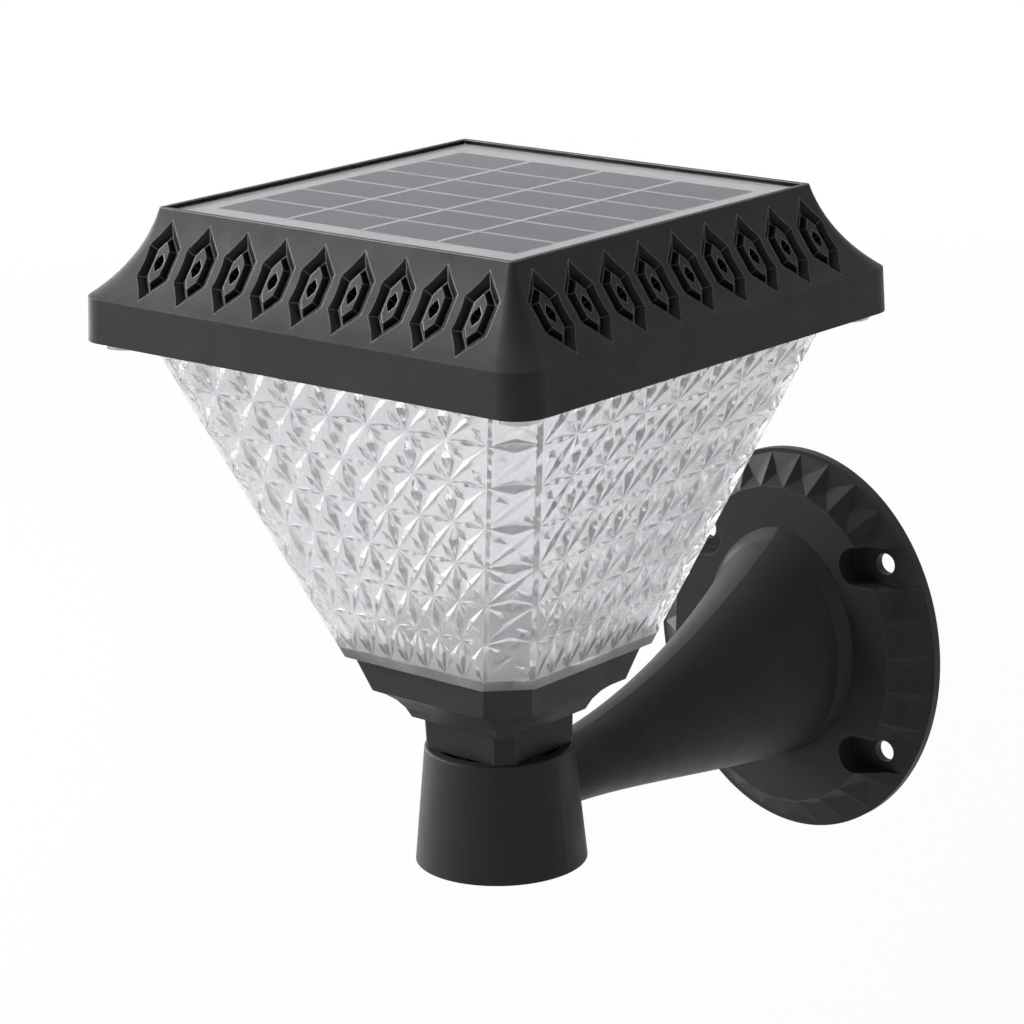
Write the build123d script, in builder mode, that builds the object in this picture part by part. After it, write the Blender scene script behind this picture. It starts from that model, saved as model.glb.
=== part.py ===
from build123d import *

import math
import os

# Solar wall light. Millimetres, +Z up, the wall is the plane Y = 0 and the lamp stands out to -Y.
# The origin is the centre of the wall plate's back face.

# Wall plate: an oval with a thin rim, a ring of gem facets and a raised flat centre
plate_width = 78.4
plate_height = 91.2
plate_rim = 2.2
plate_rim_ledge = 0.9
plate_depth = 8.4
plate_face_width = 61.0
plate_face_height = 76.0
plate_facets = 30
facet_turn = 0.3
facet_break_along = 0.5
facet_break_aside = 0.14
facet_sink = 1.1
plate_recess_width = 34.0
plate_recess_height = 56.0
plate_front_wall = 2.4
hole_diameter = 5.0
hole_spacing_x = 51.0
hole_spacing_z = 45.0
pocket_width = 9.0
pocket_reach = 4.1

# Arm: a hollow trumpet from the cup to the plate
reach = 108.0
arm_wall = 2.4
arm_root = 14.0
arm_root_half_width = 9.1
arm_root_half_height = 6.8
arm_root_drop = 8.5
arm_end_half_width = 19.05
arm_end_half_height = 25.9
arm_end_drop = 0.0
arm_foot_half_width = 20.9
arm_foot_half_height = 27.2
arm_foot_rise = 1.3
arm_foot_band = 3.0
arm_crest_share = 0.1
arm_sections = 7
arm_solid_share = 0.3
arm_width_power = 2.0
arm_height_power = 1.6
arm_drop_power = 2.6
arm_screw_spacing_x = 19.0
arm_screw_spacing_z = 28.0
arm_boss_diameter = 7.0

# Cup at the arm's end, open below, with a bored hub that the lamp turns in
cup_top = 4.1
cup_height = 25.6
cup_top_radius = 15.9
cup_bottom_radius = 18.4
cup_wall = 2.2
cup_lip_round = 0.7
hub_drop = 5.0
hub_length = 7.0
hub_diameter = 20.0
deck_thickness = 2.4

# Neck: chamfered square collar, concave flare and lower block with a round spigot
block_height = 6.3
block_half = 12.4
block_top_half = 12.6
block_cut = 3.1
flare_height = 8.1
flare_step = 0.6
flare_bottom_half = 13.9
flare_bottom_cut = 1.8
flare_sag = 1.0
flare_sections = 5
collar_height = 7.7
collar_top_half = 24.9
collar_bottom_half = 22.4
collar_cut = 7.1
collar_wall = 2.2
collar_pocket_depth = 6.0
spigot_diameter = 14.0
base_screw_spacing = 27.0
base_boss_diameter = 7.0

# Lens: an inverted hollow pyramid with cut corners, a floor and a square flange
lens_height = 68.8
lens_top_half = 52.6
lens_bottom_half = 26.5
lens_cut = 7.5
lens_wall = 2.5
lens_floor = 2.4
lens_rim = 2.3
lens_columns = 8
lens_rows = 7
lens_facet_depth = 1.0
flange_lift = 0.2
flange_thickness = 2.4
gasket_thickness = 1.2
gasket_inner_half = 52.2

# Roof cap: square band, concave roof sides and a rim around the solar panel
cap_side = 120.0
band_height = 9.1
band_draft = 0.3
band_wall = 2.65
band_corner = 6.6
roof_rise = 17.75
roof_top_side = 94.3
roof_sag = 1.65
roof_sections = 7
roof_wall = 4.2
rim_corner = 0.8
rim_wall = 1.12
rim_height = 0.45
deck_wall = 1.8
cap_screw_offset = 52.7
cap_boss_diameter = 9.0
cap_boss_height = 5.7

# Roof motif: a hexagonal groove round an island that stays level with the roof and is hollowed
motif_count = 9
motif_pitch = 10.57
motif_centre = -0.3
motif_length = 18.6
motif_width = 8.9
motif_shoulder = 7.2
motif_margin = 0.5
valley_length = 12.4
valley_width = 5.4
valley_shoulder = 6.1
valley_floor = 0.3
valley_depth = 1.35
island_length = 9.2
island_width = 2.9
island_shoulder = 5.45
hollow_length = 4.2
hollow_width = 2.3
hollow_shoulder = 1.2
hollow_depth = 2.0

# Solar panel
cover_thickness = 0.8
ribbon_thickness = 0.1
ribbon_width = 0.9
ribbon_count = 3
cell_thickness = 0.1
cell_rows = 6
cell_gap = 0.9
cell_field_x = 79.5
cell_field_y = 75.2
backsheet_thickness = 1.6
tape_thickness = 0.6
tape_width = 8.0
panel_clearance = 0.15
lead_diameter = 1.3
lead_spacing = 3.0
lead_hole_diameter = 6.0
lead_y = -12.0

# Inner tray and what it carries
tray_thickness = 1.8
tray_drop = 1.4
tray_clearance = 0.6
post_offset = 38.0
post_diameter = 7.0
led_board_side = 60.0
led_board_thickness = 1.6
led_screw_offset = 26.0
led_rows = 4
led_pitch = 10.0
led_size = 3.5
led_thickness = 0.7
battery_diameter = 14.1
battery_length = 50.0
battery_tip_diameter = 5.0
battery_tip_length = 1.0
battery_y = 20.0
cradle_wall = 1.2
cradle_height = 10.0
contact_thickness = 0.5
board_width = 46.0
board_depth = 30.0
board_thickness = 1.6
board_y = -18.0
peg_height = 3.0
peg_diameter = 5.0
board_screw_inset = 3.5
chip_width = 6.0
chip_height = 1.4
coil_diameter = 7.0
coil_height = 4.5
socket_width = 7.5
socket_depth = 5.0
socket_height = 5.5

# Mode button under the rear edge of the cap
button_x = motif_pitch / 2
button_y = 54.8
button_diameter = 4.4
button_thickness = 1.4
button_travel = 0.5
button_lift = 0.2
button_stem_diameter = 2.0
button_clip_diameter = 3.6
button_clip_thickness = 0.6
switch_side = 4.5
switch_thickness = 1.8
switch_gap = 0.25
plunger_diameter = 1.8
plunger_length = 1.55
shelf_thickness = 1.0
shelf_half_width = 2.6
switch_pocket_clearance = 0.3

# Fasteners: thread diameter, head diameter and head height
cap_screw = (4.0, 8.8, 2.6)
tray_screw = (3.0, 5.6, 1.8)
led_screw = (2.5, 4.6, 1.3)
board_screw = (2.5, 4.6, 1.5)
base_screw = (3.0, 5.6, 2.0)
arm_screw = (3.5, 6.6, 2.2)
clamp_screw = (5.0, 9.5, 3.2)
cap_screw_length = 9.0
tray_screw_length = 9.0
led_screw_length = 3.2
board_screw_length = 4.2
base_screw_length = 7.4
arm_screw_length = 10.0
clamp_screw_length = 14.0
head_edge_share = 0.7
dome_out_share = 0.72
dome_down_share = 0.845
recess_length_share = 0.5
recess_width_share = 0.12
washer_diameter = 19.0
washer_thickness = 1.2
insert_diameter = 7.2
insert_length = 9.0

# Clearances
thread_clearance = 0.02
screw_clearance = 0.2
running_clearance = 0.06
seat_clearance = 0.05
side_clearance = 0.35
cut_margin = 1.0

# Levels above the plate's centre
neck_bottom = cup_top + seat_clearance
block_top = cup_top + block_height
collar_bottom = block_top + flare_height
lens_bottom = collar_bottom + collar_height
cap_bottom = lens_bottom + lens_height
flange_bottom = cap_bottom + flange_lift
flange_top = flange_bottom + flange_thickness
cap_seat = flange_top + gasket_thickness
band_top = cap_bottom + band_height
roof_top = band_top + roof_rise
cover_top = roof_top - rim_height
ribbon_top = cover_top - cover_thickness
cell_top = ribbon_top - ribbon_thickness
backsheet_top = cell_top - cell_thickness
tape_top = backsheet_top - backsheet_thickness
deck_top = tape_top - tape_thickness
cavity_top = deck_top - deck_wall
tray_bottom = cap_seat - tray_drop
tray_top = tray_bottom + tray_thickness
led_board_bottom = tray_bottom - led_board_thickness
board_bottom = tray_top + peg_height
board_top = board_bottom + board_thickness
hub_top = cup_top - hub_drop
hub_bottom = hub_top - hub_length
spigot_bottom = hub_bottom + side_clearance
washer_top = hub_bottom - seat_clearance
washer_bottom = washer_top - washer_thickness
cup_bottom = cup_top - cup_height
clip_bottom = cap_seat + seat_clearance
clip_top = clip_bottom + button_clip_thickness
switch_bottom = clip_top + button_travel + switch_gap
switch_top = switch_bottom + switch_thickness
shelf_top = switch_top + shelf_thickness
button_cap_top = flange_bottom - button_travel - button_lift

# Half-widths that follow from the driving sizes
band_half = cap_side / 2
band_top_half = band_half - band_draft
band_inner_half = band_half - band_wall
roof_top_half = roof_top_side / 2
panel_half = roof_top_half - rim_wall - panel_clearance
flange_half = band_inner_half - side_clearance
inner_corner = band_corner - band_wall
lens_inner_top_half = lens_top_half - lens_wall
lens_taper = (lens_top_half - lens_bottom_half) / (flange_bottom - lens_bottom)
tray_half = lens_inner_top_half - tray_clearance
board_screw_x = board_width - 2 * board_screw_inset
board_screw_y = board_depth - 2 * board_screw_inset


def lamp_plane(height):
    """Level plane on the lamp's upright axis, at a height above the wall plate's centre."""
    return Plane((0, -reach, height))


def wall_plane(out, height=0.0):
    """Upright plane facing away from the wall, at a distance out from it."""
    return Plane(origin=(0, -out, height), x_dir=(1, 0, 0), z_dir=(0, -1, 0))


def cut_square(half, cut):
    """Corner points of a square with its four corners cut off."""
    near = half - cut
    return [
        (half, -near), (half, near), (near, half), (-near, half),
        (-half, near), (-half, -near), (-near, -half), (near, -half),
    ]


def inner_cut(cut, wall):
    """Corner cut of a square that lies one wall inside another with the given cut."""
    return cut - wall * (2 - math.sqrt(2))


def hexagon(length, width, shoulder):
    """Corner points of an upright hexagon with a point at each end and straight sides."""
    return [
        (0, length / 2), (-width / 2, shoulder / 2), (-width / 2, -shoulder / 2),
        (0, -length / 2), (width / 2, -shoulder / 2), (width / 2, shoulder / 2),
    ]


def sagged(start, end, sag, share):
    """Point on the curve from start to end that bows by sag to the left of the straight line."""
    run_x, run_y = end[0] - start[0], end[1] - start[1]
    length = math.hypot(run_x, run_y)
    bow = 4 * sag * share * (1 - share) / length
    return (start[0] + run_x * share - run_y * bow, start[1] + run_y * share + run_x * bow)


def pan_screw(size, length):
    """One pan-head screw at the origin: shank up, domed head down, cross recess in the head."""
    thread, head, rise = size
    edge = head_edge_share * rise
    slot_length = recess_length_share * head
    slot_width = recess_width_share * head
    shoulder = (dome_out_share * head / 2, -dome_down_share * rise)
    with BuildPart() as screw:
        with BuildSketch(Plane.XZ):
            with BuildLine():
                dome = ThreePointArc((0, -rise), shoulder, (head / 2, -edge))
                seat = Polyline(dome @ 1, (head / 2, 0), (thread / 2, 0))
                Polyline(seat @ 1, (thread / 2, length), (0, length), dome @ 0)
            make_face()
        revolve(axis=Axis.Z)
        with BuildSketch(Plane.XY.offset(-rise)):
            Rectangle(slot_length, slot_width)
            Rectangle(slot_width, slot_length)
        extrude(amount=edge, mode=Mode.SUBTRACT)
    return screw.part


def screw_group(size, length, seats):
    """The same screw set at each seat plane, its shank along the plane's normal."""
    one = pan_screw(size, length)
    with BuildPart() as group:
        with Locations(*[seat.location for seat in seats]):
            add(one)
    return group


def square_seats(half, height, down=False):
    """Four seat planes on a square about the lamp's axis, facing up or down."""
    facing = (0, 0, -1) if down else (0, 0, 1)
    return [
        Plane(origin=(x, y - reach, height), x_dir=(1, 0, 0), z_dir=facing)
        for x in (-half, half)
        for y in (-half, half)
    ]


def faceted_solid(polygons):
    """Solid bounded by flat polygons that share their corners."""
    return Solid(Shell([Face(Wire.make_polygon(points)) for points in polygons]))


def lens_point(wall, across, down, depth=0.0):
    """Point on one of the lens's eight walls, from 0 to 1 across and down its pattern, set in by a depth.

    Even walls are the four sides, and odd walls are the cut corners between them.
    """
    height = flange_bottom - lens_pattern_height * down
    half = lens_bottom_half + lens_taper * (height - lens_bottom)
    near = half - lens_cut
    if wall % 2:
        x, y = half - lens_cut * across, near + lens_cut * across
        lean, facing = lens_taper * math.sqrt(2), math.pi / 4
    else:
        x, y = half, near * (2 * across - 1)
        lean, facing = lens_taper, 0.0
    inward = depth / math.hypot(1, lean)
    point = Vector(x - inward * math.cos(facing), y - inward * math.sin(facing), height + inward * lean)
    return point.rotate(Axis.Z, 90 * (wall // 2)) + Vector(0, -reach, 0)


def lens_cell(wall, column, columns, row):
    """Four triangles of one pattern cell, which fall from its sides to a point in its middle."""
    left, right = column / columns, (column + 1) / columns
    top, bottom = row / lens_rows, (row + 1) / lens_rows
    middle = lens_point(wall, (left + right) / 2, (top + bottom) / 2, lens_facet_depth)
    corners = [
        lens_point(wall, left, top), lens_point(wall, right, top),
        lens_point(wall, right, bottom), lens_point(wall, left, bottom),
    ]
    return [(corners[index - 1], corners[index], middle) for index in range(4)]


def roof_point(share):
    """Half-width and height of the roof's side at a share of the way up from the band."""
    return sagged((band_top_half, band_top), (roof_top_half, roof_top), roof_sag, share)


def roof_face(across, up, lift):
    """Point of the front side, about the cap's axis and bottom: across and up from the middle, and lifted."""
    half, height = roof_point(0.5 + up / roof_slope)
    return (across, -half - roof_normal[0] * lift, height - cap_bottom + roof_normal[1] * lift)


def motif_loop(outline, middle, lift):
    """Six corners of a motif's outline, lifted off the roof's curve."""
    return [roof_face(middle + x, motif_centre + y, lift) for x, y in hexagon(*outline)]


def beyond(outline, inner):
    """Outline where a wall that rises from the inner one to the given one is a margin above the roof."""
    return tuple(o + (o - i) * motif_margin / valley_depth for o, i in zip(outline, inner))


def skin(near, far):
    """Triangles between two loops with as many corners."""
    lower = [(near[index - 1], near[index], far[index]) for index in range(len(near))]
    upper = [(near[index - 1], far[index], far[index - 1]) for index in range(len(near))]
    return lower + upper


def fan(loop):
    """Triangles from the first corner of a loop to the others."""
    return [(loop[0], loop[index], loop[index + 1]) for index in range(1, len(loop) - 1)]


# Roof cap
roof_run = band_top_half - roof_top_half
roof_slope = math.hypot(roof_run, roof_rise)
roof_normal = (roof_rise / roof_slope, roof_run / roof_slope)
outline_motif = (motif_length, motif_width, motif_shoulder)
outline_island = (island_length, island_width, island_shoulder)
outline_hollow = (hollow_length, hollow_width, hollow_shoulder)
valley_outer = (valley_length + valley_floor, valley_width + valley_floor, valley_shoulder)
valley_inner = (valley_length - valley_floor, valley_width - valley_floor, valley_shoulder)
motif_cutters = []
for column in range(motif_count):
    middle = (column - (motif_count - 1) / 2) * motif_pitch
    loops = [
        motif_loop(beyond(outline_motif, valley_outer), middle, motif_margin),
        motif_loop(valley_outer, middle, -valley_depth),
        motif_loop(valley_inner, middle, -valley_depth),
        motif_loop(beyond(outline_island, valley_inner), middle, motif_margin),
    ]
    rim = motif_loop(outline_hollow, middle, motif_margin)
    floor = motif_loop(outline_hollow, middle, -hollow_depth)
    groove = [triangle for index in range(4) for triangle in skin(loops[index - 1], loops[index])]
    motif_cutters.append(faceted_solid(groove))
    motif_cutters.append(faceted_solid(skin(rim, floor) + fan(rim) + fan(floor)))
cavity_low_half = band_inner_half - gasket_thickness - side_clearance
cavity_high_half = roof_point((cavity_top - band_top) / roof_rise)[0] - roof_wall
cap_pilot_radius = cap_screw[0] / 2 + thread_clearance
cap_pilot_depth = cap_screw_length - gasket_thickness - flange_thickness + side_clearance

with BuildPart(lamp_plane(cap_bottom)) as roof_cap:
    with BuildSketch(lamp_plane(cap_bottom)):
        RectangleRounded(2 * band_half, 2 * band_half, band_corner)
    with BuildSketch(lamp_plane(band_top)):
        RectangleRounded(2 * band_top_half, 2 * band_top_half, band_corner)
    loft(ruled=True)
    for index in range(roof_sections):
        share = index / (roof_sections - 1)
        half, height = roof_point(share)
        corner = band_corner + (rim_corner - band_corner) * share
        with BuildSketch(lamp_plane(height)):
            RectangleRounded(2 * half, 2 * half, corner)
    loft()
    with BuildSketch(lamp_plane(deck_top)):
        Rectangle(2 * (panel_half + panel_clearance), 2 * (panel_half + panel_clearance))
    extrude(amount=roof_top - deck_top, mode=Mode.SUBTRACT)
    with BuildSketch(lamp_plane(cap_bottom)):
        RectangleRounded(2 * band_inner_half, 2 * band_inner_half, inner_corner)
    extrude(amount=cap_seat - cap_bottom, mode=Mode.SUBTRACT)
    with BuildSketch(lamp_plane(cap_seat)):
        RectangleRounded(2 * cavity_low_half, 2 * cavity_low_half, inner_corner)
    with BuildSketch(lamp_plane(cavity_top)):
        RectangleRounded(2 * cavity_high_half, 2 * cavity_high_half, inner_corner)
    loft(ruled=True, mode=Mode.SUBTRACT)
    with BuildSketch(lamp_plane(cap_seat)):
        with GridLocations(2 * cap_screw_offset, 2 * cap_screw_offset, 2, 2):
            Circle(cap_boss_diameter / 2)
    extrude(amount=cap_boss_height)
    with BuildSketch(lamp_plane(tray_top)):
        with GridLocations(2 * post_offset, 2 * post_offset, 2, 2):
            Circle(post_diameter / 2)
    extrude(amount=cavity_top - tray_top)
    with BuildSketch(lamp_plane(cap_seat)):
        with GridLocations(2 * cap_screw_offset, 2 * cap_screw_offset, 2, 2):
            Circle(cap_pilot_radius)
    extrude(amount=cap_pilot_depth, mode=Mode.SUBTRACT)
    with BuildSketch(lamp_plane(tray_top)):
        with GridLocations(2 * post_offset, 2 * post_offset, 2, 2):
            Circle(tray_screw[0] / 2 + thread_clearance)
    extrude(amount=tray_screw_length - tray_thickness + side_clearance, mode=Mode.SUBTRACT)
    with BuildSketch(lamp_plane(cavity_top)):
        with Locations((0, lead_y)):
            Circle(lead_hole_diameter / 2)
    extrude(amount=deck_wall, mode=Mode.SUBTRACT)
    with BuildSketch(lamp_plane(cap_seat)):
        with Locations((button_x, band_inner_half - switch_side)):
            Rectangle(2 * (shelf_half_width + switch_pocket_clearance), 2 * switch_side)
    extrude(amount=shelf_top + switch_pocket_clearance - cap_seat, mode=Mode.SUBTRACT)
    with PolarLocations(0, 4):
        add(motif_cutters, mode=Mode.SUBTRACT)

# Solar panel, from the clear cover down to the tape that holds it to the deck
with BuildPart() as panel_cover:
    with BuildSketch(lamp_plane(ribbon_top)):
        Rectangle(2 * panel_half, 2 * panel_half)
    extrude(amount=cover_thickness)

with BuildPart() as cell_ribbons:
    with BuildSketch(lamp_plane(cell_top)):
        with GridLocations(cell_field_x / (ribbon_count + 1), 0, ribbon_count, 1):
            Rectangle(ribbon_width, cell_field_y)
    extrude(amount=ribbon_thickness)

cell_pitch = (cell_field_y + cell_gap) / cell_rows
with BuildPart() as solar_cells:
    with BuildSketch(lamp_plane(backsheet_top)):
        with GridLocations(0, cell_pitch, 1, cell_rows):
            Rectangle(cell_field_x, cell_pitch - cell_gap)
    extrude(amount=cell_thickness)

with BuildPart() as panel_backsheet:
    with BuildSketch(lamp_plane(tape_top)):
        Rectangle(2 * panel_half, 2 * panel_half)
    extrude(amount=backsheet_thickness)

with BuildPart() as panel_tape:
    with BuildSketch(lamp_plane(deck_top)):
        Rectangle(2 * panel_half, 2 * panel_half)
        Rectangle(2 * (panel_half - tape_width), 2 * (panel_half - tape_width), mode=Mode.SUBTRACT)
    extrude(amount=tape_thickness)

with BuildPart() as panel_leads:
    with BuildSketch(lamp_plane(board_top)):
        with Locations((0, lead_y)):
            with GridLocations(lead_spacing, 0, 2, 1):
                Circle(lead_diameter / 2)
    extrude(amount=tape_top - board_top)

# Lens, its gasket and the four screws that show under the cap's corners
base_hole_radius = base_screw[0] / 2 + screw_clearance
button_hole_radius = button_stem_diameter / 2 + running_clearance
lens_floor_top = lens_bottom + lens_floor
lens_floor_half = lens_bottom_half + lens_taper * lens_floor - lens_wall

lens_pattern_height = flange_bottom - lens_bottom - lens_rim
lens_foot = (flange_bottom - lens_bottom) / lens_pattern_height
lens_walls = [(wall, 1 if wall % 2 else lens_columns) for wall in range(8)]
lens_faces = [
    [lens_point(wall, column / columns, 0) for wall, columns in lens_walls for column in range(columns)],
    [lens_point(wall, 0, lens_foot) for wall, columns in lens_walls],
]
for wall, columns in lens_walls:
    strip_top = [lens_point(wall, column / columns, 1) for column in range(columns + 1)]
    lens_faces.append(strip_top + [lens_point(wall, 1, lens_foot), lens_point(wall, 0, lens_foot)])
    for column in range(columns):
        for row in range(lens_rows):
            lens_faces += lens_cell(wall, column, columns, row)

with BuildPart() as lens:
    add(faceted_solid(lens_faces))
    with BuildSketch(lamp_plane(flange_bottom)):
        RectangleRounded(2 * flange_half, 2 * flange_half, inner_corner)
    extrude(amount=flange_thickness)
    for height, half in ((lens_floor_top, lens_floor_half), (flange_bottom, lens_inner_top_half)):
        with BuildSketch(lamp_plane(height)):
            Polygon(*cut_square(half, inner_cut(lens_cut, lens_wall)), align=None)
    loft(ruled=True, mode=Mode.SUBTRACT)
    with BuildSketch(lamp_plane(flange_bottom)):
        Polygon(*cut_square(lens_inner_top_half, inner_cut(lens_cut, lens_wall)), align=None)
    extrude(amount=flange_thickness, mode=Mode.SUBTRACT)
    with BuildSketch(lamp_plane(flange_bottom)):
        with GridLocations(2 * cap_screw_offset, 2 * cap_screw_offset, 2, 2):
            Circle(cap_screw[0] / 2 + screw_clearance)
        with Locations((button_x, button_y)):
            Circle(button_hole_radius)
    extrude(amount=flange_thickness, mode=Mode.SUBTRACT)
    with BuildSketch(lamp_plane(lens_bottom)):
        with GridLocations(base_screw_spacing, base_screw_spacing, 2, 2):
            Circle(base_hole_radius)
    extrude(amount=lens_floor, mode=Mode.SUBTRACT)

with BuildPart() as lens_gasket:
    with BuildSketch(lamp_plane(flange_top)):
        RectangleRounded(2 * flange_half, 2 * flange_half, inner_corner)
        Polygon(*cut_square(gasket_inner_half, lens_cut), align=None, mode=Mode.SUBTRACT)
        with GridLocations(2 * cap_screw_offset, 2 * cap_screw_offset, 2, 2):
            Circle(cap_screw[0] / 2 + screw_clearance, mode=Mode.SUBTRACT)
        with Locations((button_x, button_y)):
            Circle(button_hole_radius, mode=Mode.SUBTRACT)
    extrude(amount=gasket_thickness)

cap_screws = screw_group(cap_screw, cap_screw_length, square_seats(cap_screw_offset, flange_bottom))

# Inner tray: closes the cap, with pegs for the board and a raised shelf for the switch
tray_cut = inner_cut(lens_cut, lens_wall)
riser_y = tray_half - shelf_thickness / 2
shelf_end = button_y + switch_side / 2

with BuildPart() as inner_tray:
    with BuildSketch(lamp_plane(tray_bottom)):
        Polygon(*cut_square(tray_half, tray_cut), align=None)
        with GridLocations(2 * post_offset, 2 * post_offset, 2, 2):
            Circle(tray_screw[0] / 2 + screw_clearance, mode=Mode.SUBTRACT)
        with GridLocations(2 * led_screw_offset, 2 * led_screw_offset, 2, 2):
            Circle(led_screw[0] / 2 + thread_clearance, mode=Mode.SUBTRACT)
    extrude(amount=tray_thickness)
    with BuildSketch(lamp_plane(tray_top)):
        with Locations((0, board_y)):
            with GridLocations(board_screw_x, board_screw_y, 2, 2):
                Circle(peg_diameter / 2)
                Circle(board_screw[0] / 2 + thread_clearance, mode=Mode.SUBTRACT)
    extrude(amount=peg_height)
    with BuildSketch(lamp_plane(tray_top)):
        with Locations((button_x, riser_y)):
            Rectangle(2 * shelf_half_width, shelf_thickness)
    extrude(amount=shelf_top - tray_top)
    with BuildSketch(lamp_plane(switch_top)):
        with Locations((button_x, (riser_y + shelf_end) / 2)):
            Rectangle(2 * shelf_half_width, shelf_end - riser_y)
    extrude(amount=shelf_thickness)

tray_screws = screw_group(tray_screw, tray_screw_length, square_seats(post_offset, tray_bottom))

with BuildPart() as led_board:
    with BuildSketch(lamp_plane(led_board_bottom)):
        Rectangle(led_board_side, led_board_side)
        with GridLocations(2 * led_screw_offset, 2 * led_screw_offset, 2, 2):
            Circle(led_screw[0] / 2 + screw_clearance, mode=Mode.SUBTRACT)
    extrude(amount=led_board_thickness)

with BuildPart() as leds:
    with BuildSketch(lamp_plane(led_board_bottom)):
        with GridLocations(led_pitch, led_pitch, led_rows, led_rows):
            Rectangle(led_size, led_size)
    extrude(amount=-led_thickness)

led_screws = screw_group(led_screw, led_screw_length, square_seats(led_screw_offset, led_board_bottom))

# Battery in its cradle, with a spring contact plate at each end
cradle_inner_length = battery_length + battery_tip_length + 2 * contact_thickness + 2 * seat_clearance
cradle_inner_width = battery_diameter + 2 * side_clearance
cradle_floor = tray_top + cradle_wall
battery_height = cradle_floor + battery_diameter / 2 + seat_clearance
battery_start = -(battery_length + battery_tip_length) / 2

with BuildPart() as battery_cradle:
    with BuildSketch(lamp_plane(tray_top)):
        with Locations((0, battery_y)):
            Rectangle(cradle_inner_length + 2 * cradle_wall, cradle_inner_width + 2 * cradle_wall)
    extrude(amount=cradle_height)
    with BuildSketch(lamp_plane(cradle_floor)):
        with Locations((0, battery_y)):
            Rectangle(cradle_inner_length, cradle_inner_width)
    extrude(amount=cradle_height, mode=Mode.SUBTRACT)

battery_end = Plane((battery_start, battery_y - reach, battery_height), x_dir=(0, 1, 0), z_dir=(1, 0, 0))
with BuildPart() as battery:
    with BuildSketch(battery_end):
        Circle(battery_diameter / 2)
    extrude(amount=battery_length)
    with BuildSketch(battery_end.offset(battery_length)):
        Circle(battery_tip_diameter / 2)
    extrude(amount=battery_tip_length)

contact_height = cradle_height - cradle_wall - cut_margin
with BuildPart() as battery_contacts:
    with BuildSketch(lamp_plane(cradle_floor)):
        with Locations((0, battery_y)):
            with GridLocations(cradle_inner_length - contact_thickness, 0, 2, 1):
                Rectangle(contact_thickness, cradle_inner_width)
    extrude(amount=contact_height)

# Control board on the tray's pegs, with its chip, coil and lead sockets
with BuildPart() as control_board:
    with BuildSketch(lamp_plane(board_bottom)):
        with Locations((0, board_y)):
            Rectangle(board_width, board_depth)
            with GridLocations(board_screw_x, board_screw_y, 2, 2):
                Circle(board_screw[0] / 2 + screw_clearance, mode=Mode.SUBTRACT)
    extrude(amount=board_thickness)

chip_x = board_width / 4
with BuildPart() as board_parts:
    with BuildSketch(lamp_plane(board_top)):
        with Locations((chip_x, board_y)):
            Rectangle(chip_width, chip_width)
    extrude(amount=chip_height)
    with BuildSketch(lamp_plane(board_top)):
        with Locations((-chip_x, board_y)):
            Circle(coil_diameter / 2)
    extrude(amount=coil_height)
    with BuildSketch(lamp_plane(board_top)):
        with Locations((0, board_y - board_depth / 2 + socket_depth / 2)):
            with GridLocations(2 * socket_width, 0, 2, 1):
                Rectangle(socket_width, socket_depth)
    extrude(amount=socket_height)

board_seats = [
    Plane(origin=(x, board_y + y - reach, board_top), x_dir=(1, 0, 0), z_dir=(0, 0, -1))
    for x in (-board_screw_x / 2, board_screw_x / 2)
    for y in (-board_screw_y / 2, board_screw_y / 2)
]
board_screws = screw_group(board_screw, board_screw_length, board_seats)

# Mode button: a cap under the flange, a stem through flange and gasket, and a clip above
with BuildPart() as mode_button:
    with BuildSketch(lamp_plane(button_cap_top)):
        with Locations((button_x, button_y)):
            Circle(button_diameter / 2)
    extrude(amount=-button_thickness)
    with BuildSketch(lamp_plane(button_cap_top)):
        with Locations((button_x, button_y)):
            Circle(button_stem_diameter / 2)
    extrude(amount=clip_bottom - button_cap_top)

with BuildPart() as button_clip:
    with BuildSketch(lamp_plane(clip_bottom)):
        with Locations((button_x, button_y)):
            Circle(button_clip_diameter / 2)
    extrude(amount=button_clip_thickness)

with BuildPart() as switch_plunger:
    with BuildSketch(lamp_plane(clip_top)):
        with Locations((button_x, button_y)):
            Circle(plunger_diameter / 2)
    extrude(amount=plunger_length)

with BuildPart() as switch_body:
    with BuildSketch(lamp_plane(switch_bottom)):
        with Locations((button_x, button_y)):
            Rectangle(switch_side, switch_side)
            Circle(plunger_diameter / 2 + running_clearance, mode=Mode.SUBTRACT)
    extrude(amount=switch_thickness)

# Neck: block, concave flare and hollow collar, with the spigot that turns in the hub
insert_bottom = spigot_bottom
neck_pocket_bottom = lens_bottom - collar_pocket_depth
collar_taper = (collar_top_half - collar_bottom_half) / collar_height
pocket_half = collar_top_half - collar_taper * collar_pocket_depth - collar_wall
flare_start = block_top + flare_step

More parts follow.
